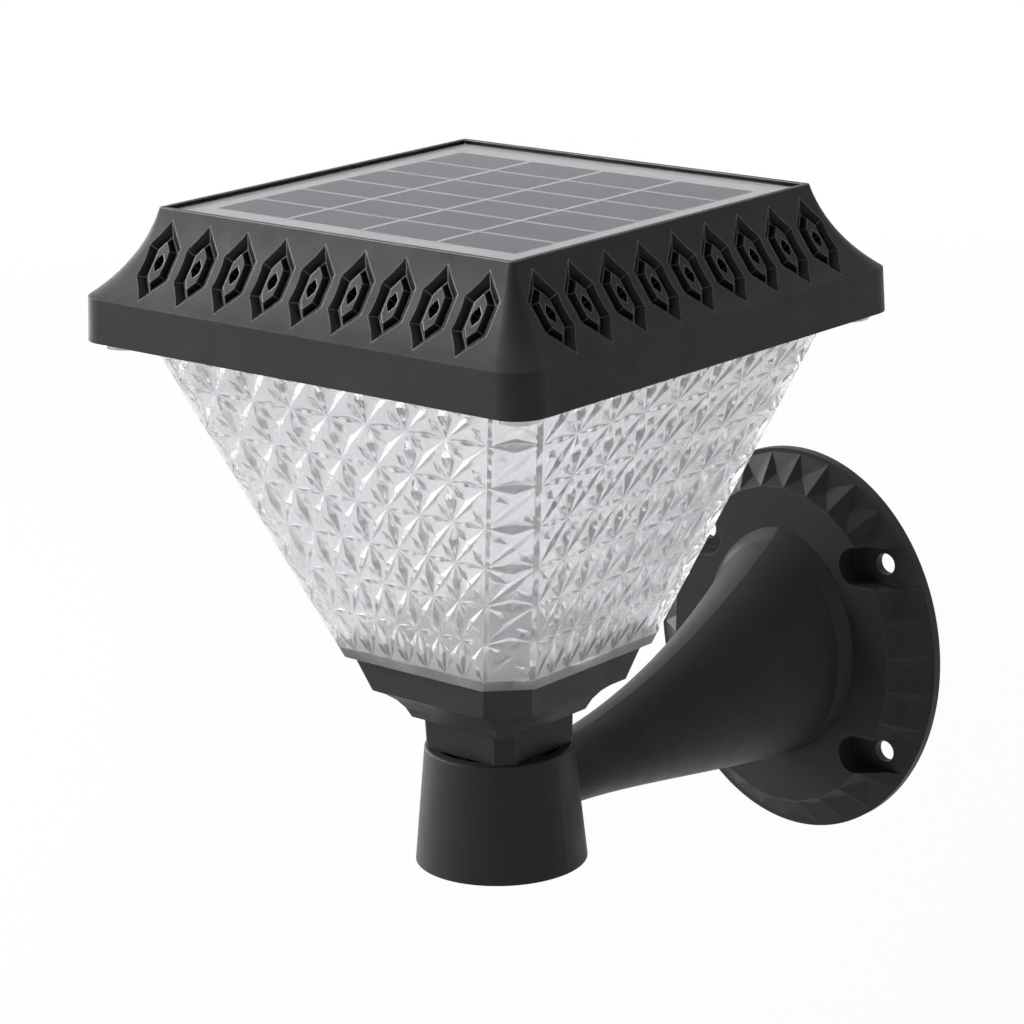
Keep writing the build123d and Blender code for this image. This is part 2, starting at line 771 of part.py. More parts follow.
with BuildPart() as neck:
    for height, half in ((neck_bottom, block_half), (flare_start, block_top_half)):
        with BuildSketch(lamp_plane(height)):
            Polygon(*cut_square(half, block_cut), align=None)
    loft(ruled=True)
    for index in range(flare_sections):
        share = index / (flare_sections - 1)
        half, height = sagged(
            (flare_bottom_half, flare_start), (collar_bottom_half, collar_bottom), flare_sag, share
        )
        cut = flare_bottom_cut + (collar_cut - flare_bottom_cut) * share
        with BuildSketch(lamp_plane(height)):
            Polygon(*cut_square(half, cut), align=None)
    loft(ruled=True)
    for height, half in ((collar_bottom, collar_bottom_half), (lens_bottom, collar_top_half)):
        with BuildSketch(lamp_plane(height)):
            Polygon(*cut_square(half, collar_cut), align=None)
    loft(ruled=True)
    with BuildSketch(lamp_plane(neck_pocket_bottom)):
        Polygon(*cut_square(pocket_half, inner_cut(collar_cut, collar_wall)), align=None)
        with GridLocations(base_screw_spacing, base_screw_spacing, 2, 2):
            Circle(base_boss_diameter / 2, mode=Mode.SUBTRACT)
    extrude(amount=collar_pocket_depth, mode=Mode.SUBTRACT)
    with BuildSketch(lamp_plane(neck_bottom)):
        Circle(spigot_diameter / 2)
    extrude(amount=spigot_bottom - neck_bottom)
    with BuildSketch(lamp_plane(lens_bottom)):
        with GridLocations(base_screw_spacing, base_screw_spacing, 2, 2):
            Circle(base_screw[0] / 2 + thread_clearance)
    extrude(amount=-(base_screw_length - lens_floor + side_clearance), mode=Mode.SUBTRACT)
    with BuildSketch(lamp_plane(insert_bottom)):
        Circle(insert_diameter / 2 + thread_clearance)
    extrude(amount=insert_length, mode=Mode.SUBTRACT)
    with BuildSketch(lamp_plane(insert_bottom)):
        Circle(clamp_screw[0] / 2 + screw_clearance)
    extrude(amount=clamp_screw_length, mode=Mode.SUBTRACT)

base_screws = screw_group(
    base_screw, base_screw_length, square_seats(base_screw_spacing / 2, lens_floor_top, down=True)
)

with BuildPart() as thread_insert:
    with BuildSketch(lamp_plane(insert_bottom)):
        Circle(insert_diameter / 2)
        Circle(clamp_screw[0] / 2 + thread_clearance, mode=Mode.SUBTRACT)
    extrude(amount=insert_length)

clamp_bolt = screw_group(clamp_screw, clamp_screw_length, [lamp_plane(washer_bottom)])

with BuildPart() as clamp_washer:
    with BuildSketch(lamp_plane(washer_bottom)):
        Circle(washer_diameter / 2)
        Circle(clamp_screw[0] / 2 + screw_clearance, mode=Mode.SUBTRACT)
    extrude(amount=washer_thickness)


def arm_section(share):
    """Half-width, half-height and centre height of the arm at a share of the way from cup to foot."""
    width = arm_root_half_width + (arm_end_half_width - arm_root_half_width) * share**arm_width_power
    tall = arm_root_half_height + (arm_end_half_height - arm_root_half_height) * share**arm_height_power
    drop = arm_root_drop + (arm_end_drop - arm_root_drop) * share**arm_drop_power
    return width, tall, -drop


def crested_oval(half_width, half_height):
    """Upright oval sketched as two overlapping ovals, which leaves a low crest above and below."""
    shift = arm_crest_share * half_width
    wide = half_width + shift
    tall = half_height / math.sqrt(1 - (shift / wide) ** 2)
    with Locations((-shift, 0)):
        Ellipse(wide, tall)
    with Locations((shift, 0)):
        Ellipse(wide, tall, mode=Mode.INTERSECT)


# Bracket arm: cup, trumpet and foot in one moulding
arm_root_out = reach - arm_root
arm_end_out = plate_depth + arm_foot_band
arm_length = arm_root_out - arm_end_out
cup_taper = (cup_bottom_radius - cup_top_radius) / cup_height


def cup_inner_radius(height):
    """Radius of the cup's inner wall at a height."""
    return cup_top_radius + cup_taper * (cup_top - height) - cup_wall


with BuildPart() as arm_cavity:
    for index in range(arm_sections):
        share = arm_solid_share + (1 - arm_solid_share) * index / (arm_sections - 1)
        width, tall, centre = arm_section(share)
        with BuildSketch(wall_plane(arm_root_out - arm_length * share, centre)):
            Ellipse(width - arm_wall, tall - arm_wall)
    loft()
    with BuildSketch(wall_plane(arm_end_out, -arm_end_drop)):
        Ellipse(arm_end_half_width - arm_wall, arm_end_half_height - arm_wall)
    extrude(amount=-arm_foot_band)
    with BuildSketch(wall_plane(plate_depth)):
        with GridLocations(arm_screw_spacing_x, arm_screw_spacing_z, 2, 2):
            Circle(arm_boss_diameter / 2)
    extrude(amount=arm_length, mode=Mode.SUBTRACT)

with BuildPart() as bracket_arm:
    for index in range(arm_sections):
        share = index / (arm_sections - 1)
        width, tall, centre = arm_section(share)
        with BuildSketch(wall_plane(arm_root_out - arm_length * share, centre)):
            crested_oval(width, tall)
    loft()
    with BuildSketch(wall_plane(arm_end_out, -arm_end_drop)):
        crested_oval(arm_end_half_width, arm_end_half_height)
    with BuildSketch(wall_plane(plate_depth, arm_foot_rise)):
        crested_oval(arm_foot_half_width, arm_foot_half_height)
    loft(ruled=True)
    with BuildSketch(lamp_plane(cup_bottom)):
        Circle(cup_bottom_radius)
    with BuildSketch(lamp_plane(cup_top)):
        Circle(cup_top_radius)
    loft(ruled=True)
    add(arm_cavity.part, mode=Mode.SUBTRACT)
    for height_low, height_high in ((cup_bottom, hub_top - deck_thickness), (hub_top, cup_top)):
        for height in (height_low, height_high):
            with BuildSketch(lamp_plane(height)):
                Circle(cup_inner_radius(height))
        loft(ruled=True, mode=Mode.SUBTRACT)
    with BuildSketch(lamp_plane(hub_bottom)):
        Circle(hub_diameter / 2)
    extrude(amount=hub_length)
    with BuildSketch(lamp_plane(hub_bottom)):
        Circle(spigot_diameter / 2 + running_clearance)
    extrude(amount=hub_length, mode=Mode.SUBTRACT)
    with BuildSketch(wall_plane(plate_depth)):
        with GridLocations(arm_screw_spacing_x, arm_screw_spacing_z, 2, 2):
            Circle(arm_screw[0] / 2 + thread_clearance)
    extrude(amount=arm_screw_length - plate_front_wall + side_clearance, mode=Mode.SUBTRACT)
    lip_face = bracket_arm.faces().filter_by(Axis.Z).sort_by(Axis.Z)[-1]
    fillet(lip_face.edges().sort_by(SortBy.RADIUS)[-1], cup_lip_round)


def oval_ring(width, height, out):
    """Corner points of one ring of facets: a polygon on an oval, at a distance out from the wall."""
    points = []
    for index in range(plate_facets):
        angle = 2 * math.pi * (index + facet_turn) / plate_facets
        points.append((width / 2 * math.cos(angle), -out, height / 2 * math.sin(angle)))
    return points


def valley_point(near, far, peak):
    """Lowest point of a facet's valley: beside the line from far to peak, and sunk towards the wall."""
    x, y, z = (
        f + facet_break_along * (p - f) + facet_break_aside * (f - n) for n, f, p in zip(near, far, peak)
    )
    shrink = 1 - facet_sink / math.hypot(x, z)
    return (x * shrink, y + facet_sink, z * shrink)


# Wall plate
facet_foot = oval_ring(plate_width - 2 * plate_rim_ledge, plate_height - 2 * plate_rim_ledge, plate_rim)
facet_top = oval_ring(plate_face_width, plate_face_height, plate_depth)
facet_faces = [facet_foot, facet_top]
for index in range(plate_facets):
    foot, next_foot = facet_foot[index - 1], facet_foot[index]
    top, next_top = facet_top[index - 1], facet_top[index]
    valley = valley_point(foot, next_foot, top)
    facet_faces += [
        (next_foot, next_top, valley), (next_top, top, valley),
        (next_foot, valley, foot), (valley, top, foot),
    ]
pocket_length = (plate_width - hole_spacing_x) / 2 + pocket_reach

with BuildPart() as wall_plate:
    with BuildSketch(wall_plane(0)):
        Ellipse(plate_width / 2, plate_height / 2)
    extrude(amount=plate_rim)
    add(faceted_solid(facet_faces))
    for side in (-1, 1):
        with BuildSketch(wall_plane(plate_rim)):
            with Locations((side * (hole_spacing_x / 2 - pocket_reach), 0)):
                with GridLocations(0, hole_spacing_z, 1, 2):
                    Circle(pocket_width / 2)
            with Locations((side * (hole_spacing_x / 2 - pocket_reach + pocket_length / 2), 0)):
                with GridLocations(0, hole_spacing_z, 1, 2):
                    Rectangle(pocket_length, pocket_width)
        extrude(amount=plate_depth, mode=Mode.SUBTRACT)
    with BuildSketch(wall_plane(0)):
        with GridLocations(hole_spacing_x, hole_spacing_z, 2, 2):
            Circle(hole_diameter / 2)
    extrude(amount=plate_rim, mode=Mode.SUBTRACT)
    with BuildSketch(wall_plane(0)):
        Ellipse(plate_recess_width / 2, plate_recess_height / 2)
    extrude(amount=plate_depth - plate_front_wall, mode=Mode.SUBTRACT)
    with BuildSketch(wall_plane(0)):
        with GridLocations(arm_screw_spacing_x, arm_screw_spacing_z, 2, 2):
            Circle(arm_screw[0] / 2 + screw_clearance)
    extrude(amount=plate_depth, mode=Mode.SUBTRACT)

arm_seats = [
    Plane(origin=(x, plate_front_wall - plate_depth, z), x_dir=(1, 0, 0), z_dir=(0, -1, 0))
    for x in (-arm_screw_spacing_x / 2, arm_screw_spacing_x / 2)
    for z in (-arm_screw_spacing_z / 2, arm_screw_spacing_z / 2)
]
arm_screws = screw_group(arm_screw, arm_screw_length, arm_seats)

pieces = {
    "wall_plate": wall_plate,
    "bracket_arm": bracket_arm,
    "arm_screws": arm_screws,
    "neck": neck,
    "thread_insert": thread_insert,
    "clamp_bolt": clamp_bolt,
    "clamp_washer": clamp_washer,
    "base_screws": base_screws,
    "lens": lens,
    "lens_gasket": lens_gasket,
    "cap_screws": cap_screws,
    "roof_cap": roof_cap,
    "panel_cover": panel_cover,
    "cell_ribbons": cell_ribbons,
    "solar_cells": solar_cells,
    "panel_backsheet": panel_backsheet,
    "panel_tape": panel_tape,
    "panel_leads": panel_leads,
    "inner_tray": inner_tray,
    "tray_screws": tray_screws,
    "led_board": led_board,
    "leds": leds,
    "led_screws": led_screws,
    "battery_cradle": battery_cradle,
    "battery": battery,
    "battery_contacts": battery_contacts,
    "control_board": control_board,
    "board_parts": board_parts,
    "board_screws": board_screws,
    "mode_button": mode_button,
    "button_clip": button_clip,
    "switch_plunger": switch_plunger,
    "switch_body": switch_body,
}

os.makedirs("parts", exist_ok=True)
for name, piece in pieces.items():
    piece.part.label = name
    export_step(piece.part, f"parts/{name}.step")
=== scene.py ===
"""Looks of a solar wall light: finishes for every solid, a faceted lens and the studio around them."""

import functools
import logging
import math
from dataclasses import dataclass
from enum import Enum, IntEnum

import bmesh
import bpy
import numpy as np
from bpy.types import Material, Node, NodeSocket, NodeTree, Object
from mathutils import Matrix, Vector


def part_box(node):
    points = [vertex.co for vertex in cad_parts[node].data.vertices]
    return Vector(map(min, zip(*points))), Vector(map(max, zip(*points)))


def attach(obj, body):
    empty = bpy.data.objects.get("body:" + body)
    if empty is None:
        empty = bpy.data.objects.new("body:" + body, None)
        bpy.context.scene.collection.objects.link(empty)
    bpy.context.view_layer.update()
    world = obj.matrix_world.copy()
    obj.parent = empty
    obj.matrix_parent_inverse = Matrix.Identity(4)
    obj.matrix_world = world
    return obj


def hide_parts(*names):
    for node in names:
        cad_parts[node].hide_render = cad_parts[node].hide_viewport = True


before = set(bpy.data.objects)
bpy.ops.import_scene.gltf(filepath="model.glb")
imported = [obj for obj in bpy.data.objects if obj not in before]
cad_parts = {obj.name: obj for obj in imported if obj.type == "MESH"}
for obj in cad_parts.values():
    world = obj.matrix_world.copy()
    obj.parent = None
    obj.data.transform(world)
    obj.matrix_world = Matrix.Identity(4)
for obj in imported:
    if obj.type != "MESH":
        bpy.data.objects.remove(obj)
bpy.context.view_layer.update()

LOG = logging.getLogger("solar_wall_light")
Colour = tuple[float, float, float]
Skin = tuple[np.ndarray, np.ndarray, np.ndarray]
NO_TRIANGLES = np.zeros((0, 3), int)
NO_QUADS = np.zeros((0, 4), int)
MERGE_DIGITS = 7
RANGE_SOCKETS = ("From Min", "From Max", "To Min", "To Max")
CORNER_SIGNS = np.array([(-1, -1), (1, -1), (1, 1), (-1, 1)])


class Corner(Enum):
    """How the corners of a square ring are formed."""

    CUT = "cut"
    ROUND = "round"


class Axis(Enum):
    """Axis of an object that a pattern is measured along."""

    Y = "Y"
    Z = "Z"


class LeafPoint(IntEnum):
    """Points of the upper half of a lens cell: stars, leaf middles, and brinks where a leaf ends."""

    STAR = 0
    NEXT_STAR = 1
    LEVEL = 2
    UPRIGHT = 3
    LEVEL_BRINK = 4
    UPRIGHT_BRINK = 5
    RISING_BRINK = 6
    SHORT = 7
    SHORT_ABOVE = 8
    SHORT_BELOW = 9


class Role(Enum):
    """What a lamp of the studio is there for."""

    KEY = "key"
    FILL = "fill"
    RIM = "rim"


class Shader:
    """A material's node tree, with short calls for the nodes that the finishes share."""

    noise_middle: tuple[float, float] = (0.3, 0.7)
    first_colour: int = 6
    second_colour: int = 7
    mixed_colour: int = 2
    rounding_samples: int = 6
    shade_samples: int = 8

    def __init__(self, name: str) -> None:
        """Start a material that holds one surface shader and its output.

        Args:
            name: Name of the material.
        """
        self.material = bpy.data.materials.new(name)
        self.material.use_nodes = True
        self.tree = self.material.node_tree
        self.tree.nodes.clear()
        self.surface = self.node("ShaderNodeBsdfPrincipled")
        output = self.node("ShaderNodeOutputMaterial")
        self.tree.links.new(self.surface.outputs["BSDF"], output.inputs["Surface"])
        self.place = self.node("ShaderNodeTexCoord").outputs["Object"]

    def node(self, kind: str, **settings: object) -> Node:
        """Add one node.

        Args:
            kind: Name of the node type.
            **settings: Properties set on the node.

        Returns:
            The new node.
        """
        made = self.tree.nodes.new(kind)
        for key, value in settings.items():
            setattr(made, key, value)
        return made

    def link(self, source: NodeSocket, target: NodeSocket) -> None:
        """Join an output socket to an input socket."""
        self.tree.links.new(source, target)

    def set(self, **values: float) -> None:
        """Set plain values on the surface shader's own sockets, by their names in lower case."""
        for key, value in values.items():
            socket = self.surface.inputs[key.replace("_", " ").title().replace("Ior", "IOR")]
            socket.default_value = value

    def along(self, axis: Axis) -> NodeSocket:
        """Distance along one axis of the object.

        Args:
            axis: The axis.

        Returns:
            The distance in metres.
        """
        split = self.node("ShaderNodeSeparateXYZ")
        self.link(self.place, split.inputs["Vector"])
        return split.outputs[axis.value]

    def stretched(self, scale: tuple[float, float, float]) -> NodeSocket:
        """Object coordinates stretched by a scale on each axis.

        Args:
            scale: Factor along X, Y and Z.

        Returns:
            The scaled coordinates.
        """
        mapping = self.node("ShaderNodeMapping")
        mapping.inputs["Scale"].default_value = scale
        self.link(self.place, mapping.inputs["Vector"])
        return mapping.outputs["Vector"]

    def noise(self, scale: float, detail: float = 2.0, place: NodeSocket | None = None) -> NodeSocket:
        """Cloudy noise.

        Args:
            scale: Number of clouds per metre.
            detail: Number of finer layers.
            place: Coordinates to read, the object's own if left out.

        Returns:
            The noise value from 0 to 1.
        """
        made = self.node("ShaderNodeTexNoise")
        made.inputs["Scale"].default_value = scale
        made.inputs["Detail"].default_value = detail
        self.link(place or self.place, made.inputs["Vector"])
        return made.outputs["Fac"]

    def spread(
        self,
        value: NodeSocket,
        low: float = 0.0,
        high: float = 1.0,
        middle: tuple[float, float] = noise_middle,
    ) -> NodeSocket:
        """Spread the middle of a value's range over a new range.

        Args:
            value: Value to map, such as noise, which lies mostly in its middle.
            low: Result at the start of the middle.
            high: Result at the end of the middle.
            middle: Start and end of the middle.

        Returns:
            The mapped value.
        """
        made = self.node("ShaderNodeMapRange")
        for name, number in zip(RANGE_SOCKETS, (*middle, low, high)):
            made.inputs[name].default_value = number
        self.link(value, made.inputs["Value"])
        return made.outputs["Result"]

    def blend(self, share: NodeSocket, first: Colour | NodeSocket, second: Colour) -> NodeSocket:
        """Mix two colours by a pattern.

        Args:
            share: 0 for the first colour and 1 for the second.
            first: Linear colour, or a pattern of colours.
            second: Linear colour.

        Returns:
            The mixed colour.
        """
        made = self.node("ShaderNodeMix", data_type="RGBA")
        if isinstance(first, NodeSocket):
            self.link(first, made.inputs[self.first_colour])
        else:
            made.inputs[self.first_colour].default_value = (*first, 1.0)
        made.inputs[self.second_colour].default_value = (*second, 1.0)
        self.link(share, made.inputs[0])
        return made.outputs[self.mixed_colour]

    def math(self, operation: str, first: object, second: object = 0.0) -> NodeSocket:
        """One arithmetic step on two sockets or numbers.

        Args:
            operation: Name of the step.
            first: Socket or number.
            second: Socket or number.

        Returns:
            The result.
        """
        made = self.node("ShaderNodeMath", operation=operation)
        for index, value in enumerate((first, second)):
            if isinstance(value, NodeSocket):
                self.link(value, made.inputs[index])
            else:
                made.inputs[index].default_value = value
        return made.outputs[0]

    def bump(self, height: NodeSocket, depth: float, under: NodeSocket | None = None) -> NodeSocket:
        """Relief from a height pattern.

        Args:
            height: Pattern from 0 to 1.
            depth: Height of the relief in metres.
            under: Normal that the relief stands on.

        Returns:
            The bent normal.
        """
        made = self.node("ShaderNodeBump")
        made.inputs["Distance"].default_value = depth
        self.link(height, made.inputs["Height"])
        if under is not None:
            self.link(under, made.inputs["Normal"])
        return made.outputs["Normal"]

    def rounded(self, radius: float) -> NodeSocket:
        """Normal that rounds every sharp edge by a small radius.

        Args:
            radius: Radius of the rounding in metres.

        Returns:
            The rounded normal.
        """
        made = self.node("ShaderNodeBevel", samples=self.rounding_samples)
        made.inputs["Radius"].default_value = radius
        return made.outputs["Normal"]

    def edge(self, radius: float, gain: float = 6.0) -> NodeSocket:
        """Share of an edge: 0 on flat faces, up to 1 where the rounded normal leaves the true one.

        Args:
            radius: Reach of the edge in metres.
            gain: How fast the share grows with the angle between the two normals.

        Returns:
            The edge share.
        """
        flat = self.node("ShaderNodeNewGeometry").outputs["Normal"]
        dot = self.node("ShaderNodeVectorMath", operation="DOT_PRODUCT")
        self.link(self.rounded(radius), dot.inputs[0])
        self.link(flat, dot.inputs[1])
        away = self.math("SUBTRACT", 1.0, dot.outputs["Value"])
        scaled = self.math("MULTIPLY", away, gain)
        return self.math("MINIMUM", scaled, 1.0)

    def open_share(self, reach: float) -> NodeSocket:
        """Share of the sky that a point sees past its own solid: 1 on open faces, less in hollows.

        Args:
            reach: Distance in metres over which the solid shades itself.

        Returns:
            The open share.
        """
        made = self.node("ShaderNodeAmbientOcclusion", samples=self.shade_samples, only_local=True)
        made.inputs["Distance"].default_value = reach
        return made.outputs["AO"]

    def colour(self, source: NodeSocket) -> None:
        """Send a colour pattern to the surface."""
        self.link(source, self.surface.inputs["Base Color"])

    def roughness(self, source: NodeSocket) -> None:
        """Send a roughness pattern to the surface."""
        self.link(source, self.surface.inputs["Roughness"])

    def normal(self, source: NodeSocket) -> None:
        """Send a bent normal to the surface."""
        self.link(source, self.surface.inputs["Normal"])


@dataclass(frozen=True)
class Finish:
    """A surface finish, with the name of its material."""

    name: str

    def make(self) -> Material:
        """Build the material.

        Returns:
            The finished material.
        """
        raise NotImplementedError


@functools.cache
def material_of(finish: Finish) -> Material:
    """Material of a finish, made the first time that it is asked for."""
    return finish.make()


def dress(finish: Finish, *nodes: str) -> None:
    """Put a finish on solids that keep their own shape.

    Args:
        finish: The finish.
        *nodes: Names of the solids.
    """
    for node in nodes:
        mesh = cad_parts[node].data
        mesh.materials.clear()
        mesh.materials.append(material_of(finish))
        LOG.info("dressed %s in %s", node, finish.name)


@dataclass(frozen=True)
class MouldedPlastic(Finish):
    """Moulded plastic with a fine spark-eroded grain, soft mottling, and edges painted paler in patches
    as a highlight.
    """

    colour: Colour
    mottle: Colour
    edge_highlight: Colour
    rough_low: float = 0.42
    rough_high: float = 0.54
    grain: float = 2600.0
    grain_depth: float = 0.00004
    edge_radius: float = 0.00022
    edge_gain: float = 6.0
    patchiness: float = 0.2
    fullest_patch: float = 0.9
    specular: float = 0.15
    cloud_scale: float = 90.0
    gloss_scale: float = 160.0
    patch_scale: float = 400.0

    def make(self) -> Material:
        """Clouds mix two tones, edges take a painted highlight tone in patches, and grain bends the
        normal.

        Returns:
            The finished material.
        """
        shader = Shader(self.name)
        # Paler patches along the edges are a painted highlight, patchy like rubbed wear.
        shader.colour(shader.blend(self.highlight_share(shader), self.body(shader), self.edge_highlight))
        gloss = shader.noise(self.gloss_scale, detail=3.0)
        shader.roughness(shader.spread(gloss, self.rough_low, self.rough_high))
        shader.set(specular_ior_level=self.specular)
        grain = shader.noise(self.grain, detail=3.0)
        shader.normal(shader.bump(grain, self.grain_depth, shader.rounded(self.edge_radius)))
        return shader.material

    def body(self, shader: Shader) -> NodeSocket:
        """Colour away from the edges: clouds of two tones."""
        clouds = shader.spread(shader.noise(self.cloud_scale, detail=4.0))
        return shader.blend(clouds, self.colour, self.mottle)

    def highlight_share(self, shader: Shader) -> NodeSocket:
        """Share of the painted edge highlight: patches along the edges."""
        patches = shader.spread(shader.noise(self.patch_scale), self.patchiness, self.fullest_patch)
        return shader.math("MULTIPLY", shader.edge(self.edge_radius, self.edge_gain), patches)


@dataclass(frozen=True)
class HollowedPlastic(MouldedPlastic):
    """Moulded plastic with shade painted into its narrow hollows, less sheen there, and its painted
    edge highlight only above a height.
    """

    painted_hollow_shade: Colour = (0.003, 0.003, 0.003)
    reach: float = 0.006
    open_from: float = 0.6
    open_to: float = 1.0
    highlight_above: float = 0.1046

    def highlight_share(self, shader: Shader) -> NodeSocket:
        """Painted highlight in patches along the edges of the pattern, and none on the crease over the
        band.
        """
        above = shader.math("GREATER_THAN", shader.along(Axis.Z), self.highlight_above)
        return shader.math("MULTIPLY", super().highlight_share(shader), above)

    def body(self, shader: Shader) -> NodeSocket:
        """Clouds of two tones, darker and duller where the solid shades itself.

        Args:
            shader: Shader to add to.

        Returns:
            The colour away from the edges.
        """
        # Painted shade: where the solid hides the sky, the colour darkens toward the shade colour and
        # the sheen fades.
        shut = shader.spread(shader.open_share(self.reach), middle=(self.open_to, self.open_from))
        sheen = shader.math("MULTIPLY", shader.math("SUBTRACT", 1.0, shut), self.specular)
        shader.link(sheen, shader.surface.inputs["Specular IOR Level"])
        return shader.blend(shut, super().body(shader), self.painted_hollow_shade)


@dataclass(frozen=True)
class ClearMoulding(Finish):
    """Clear moulded plastic with a trace of haze, faint flow ripples, and softened facet edges painted
    paler as a highlight.
    """

    colour: Colour
    haze: Colour
    edge_highlight: Colour
    transmission: float
    roughness: float
    ior: float = 1.49
    ripple: float = 700.0
    ripple_depth: float = 0.00003
    ripple_stretch: tuple[float, float, float] = (1.0, 1.0, 0.45)
    edge_radius: float = 0.00022
    cloud_scale: float = 60.0
    gloss_scale: float = 220.0
    glossiest: float = 0.7
    dullest: float = 1.3

    def make(self) -> Material:
        """Clouds mix clear and hazy tones, edges are painted paler as a highlight, and drawn-out
        ripples bend the normal.

        Returns:
            The finished material.
        """
        shader = Shader(self.name)
        clouds = shader.spread(shader.noise(self.cloud_scale, detail=3.0))
        body = shader.blend(clouds, self.colour, self.haze)
        # Paler edges are a painted highlight.
        shader.colour(shader.blend(shader.edge(self.edge_radius), body, self.edge_highlight))
        shader.set(transmission_weight=self.transmission, ior=self.ior)
        low, high = self.roughness * self.glossiest, self.roughness * self.dullest
        shader.roughness(shader.spread(shader.noise(self.gloss_scale), low, high))
        ripples = shader.noise(self.ripple, place=shader.stretched(self.ripple_stretch))
        shader.normal(shader.bump(ripples, self.ripple_depth, shader.rounded(self.edge_radius)))
        return shader.material


@dataclass(frozen=True)
class BrightMetal(Finish):
    """Plated or bare metal with fine turning lines and a little tarnish."""

    colour: Colour
    tarnish: Colour
    rough_low: float = 0.2
    rough_high: float = 0.38
    lines: float = 1800.0
    line_stretch: tuple[float, float, float] = (1.0, 1.0, 6.0)
    line_depth: float = 0.00001
    edge_radius: float = 0.00012
    metallic: float = 1.0
    patch_scale: float = 500.0
    gloss_scale: float = 900.0

    def make(self) -> Material:
        """Patches mix bright and tarnished metal, and lines drawn out sideways bend the normal.

        Returns:
            The finished material.
        """
        shader = Shader(self.name)
        shader.set(metallic=self.metallic)
        patches = shader.spread(shader.noise(self.patch_scale, detail=4.0))
        shader.colour(shader.blend(patches, self.colour, self.tarnish))
        gloss = shader.noise(self.gloss_scale, detail=3.0)
        shader.roughness(shader.spread(gloss, self.rough_low, self.rough_high))
        lines = shader.noise(self.lines, place=shader.stretched(self.line_stretch))
        shader.normal(shader.bump(lines, self.line_depth, shader.rounded(self.edge_radius)))
        return shader.material


@dataclass(frozen=True)
class SiliconCell(Finish):
    """Dark silicon under its laminate, with crystal clouds, printed fingers and pale cut edges."""

    colour: Colour
    crystal: Colour
    finger: Colour
    cut: Colour
    cut_reach: float = 0.0004
    finger_pitch: float = 0.0021
    finger_share: float = 0.09
    rough_low: float = 0.4
    rough_high: float = 0.5
    specular: float = 0.0
    grain: float = 3000.0
    grain_depth: float = 0.000004
    cloud_scale: float = 45.0
    gloss_scale: float = 300.0

    def make(self) -> Material:
        """Clouds mix two tones, a repeating step along Y draws the fingers, and cut edges turn pale.

        Returns:
            The finished material.
        """
        shader = Shader(self.name)
        step = shader.math("FRACT", shader.math("DIVIDE", shader.along(Axis.Y), self.finger_pitch))
        line = shader.math("LESS_THAN", step, self.finger_share)
        clouds = shader.spread(shader.noise(self.cloud_scale, detail=3.0))
        body = shader.blend(line, shader.blend(clouds, self.colour, self.crystal), self.finger)
        shader.colour(shader.blend(shader.edge(self.cut_reach), body, self.cut))
        shader.roughness(shader.spread(shader.noise(self.gloss_scale), self.rough_low, self.rough_high))
        shader.set(specular_ior_level=self.specular)
        shader.normal(shader.bump(shader.noise(self.grain), self.grain_depth))
        return shader.material


@dataclass(frozen=True)
class PrintedBoard(Finish):
    """Circuit laminate: solder mask over faint copper runs."""

    colour: Colour
    copper: Colour
    run_length: float = 0.019
    run_share: float = 0.04
    run_height: float = 0.00003
    rough_low: float = 0.3
    rough_high: float = 0.45
    gloss_scale: float = 400.0

    def make(self) -> Material:
        """The joints of a brick pattern stand for the copper runs under the mask.

        Returns:
            The finished material.
        """
        shader = Shader(self.name)
        cells = shader.node("ShaderNodeTexBrick")
        cells.inputs["Scale"].default_value = 1.0 / self.run_length
        cells.inputs["Mortar Size"].default_value = self.run_share
        shader.link(shader.place, cells.inputs["Vector"])
        shader.colour(shader.blend(cells.outputs["Fac"], self.colour, self.copper))
        shader.roughness(shader.spread(shader.noise(self.gloss_scale), self.rough_low, self.rough_high))
        shader.normal(shader.bump(cells.outputs["Fac"], self.run_height))
        return shader.material


@dataclass(frozen=True)
class SoftRubber(Finish):
    """Matte rubber or foam with a fine open grain."""

    colour: Colour
    bloom: Colour
    rough_low: float = 0.7
    rough_high: float = 0.9
    grain: float = 1500.0
    grain_depth: float = 0.00004
    cloud_scale: float = 140.0
    gloss_scale: float = 300.0

    def make(self) -> Material:
        """Clouds mix rubber and bloom, and fine noise bends the normal.

        Returns:
            The finished material.
        """
        shader = Shader(self.name)
        clouds = shader.spread(shader.noise(self.cloud_scale, detail=4.0))
        shader.colour(shader.blend(clouds, self.colour, self.bloom))
        shader.roughness(shader.spread(shader.noise(self.gloss_scale), self.rough_low, self.rough_high))
        shader.normal(shader.bump(shader.noise(self.grain, detail=3.0), self.grain_depth))
        return shader.material


def grey(value: float) -> Colour:
    """Neutral colour of one value."""
    return (value, value, value)


# The third colour of each moulded and clear finish is the paler tone painted on its edges as a
# highlight.
BLACK = MouldedPlastic("satin_black", (0.026, 0.026, 0.027), (0.032, 0.032, 0.033), grey(0.15))
# Roof: strong painted highlight along the pattern's edges, and painted shade in its hollows.
ROOF_BLACK = HollowedPlastic(
    "roof_black",
    colour=(0.026, 0.026, 0.027),
    mottle=(0.034, 0.034, 0.035),
    edge_highlight=grey(0.62),
    edge_radius=0.00035,
    edge_gain=18.0,
    patchiness=0.5,
)
ARM_BLACK = MouldedPlastic(
    "arm_black",
    colour=(0.022, 0.022, 0.023),
    mottle=(0.028, 0.028, 0.029),
    edge_highlight=grey(0.12),
    rough_high=0.52,
)
COMPONENT_BLACK = MouldedPlastic("black_component", grey(0.02), grey(0.03), grey(0.12))
WHITE_MOULDING = MouldedPlastic("white_moulding", (0.82, 0.82, 0.81), (0.76, 0.76, 0.75), grey(0.9))
WHITE_SHEET = MouldedPlastic("white_back_sheet", grey(0.3), (0.27, 0.27, 0.275), grey(0.38))
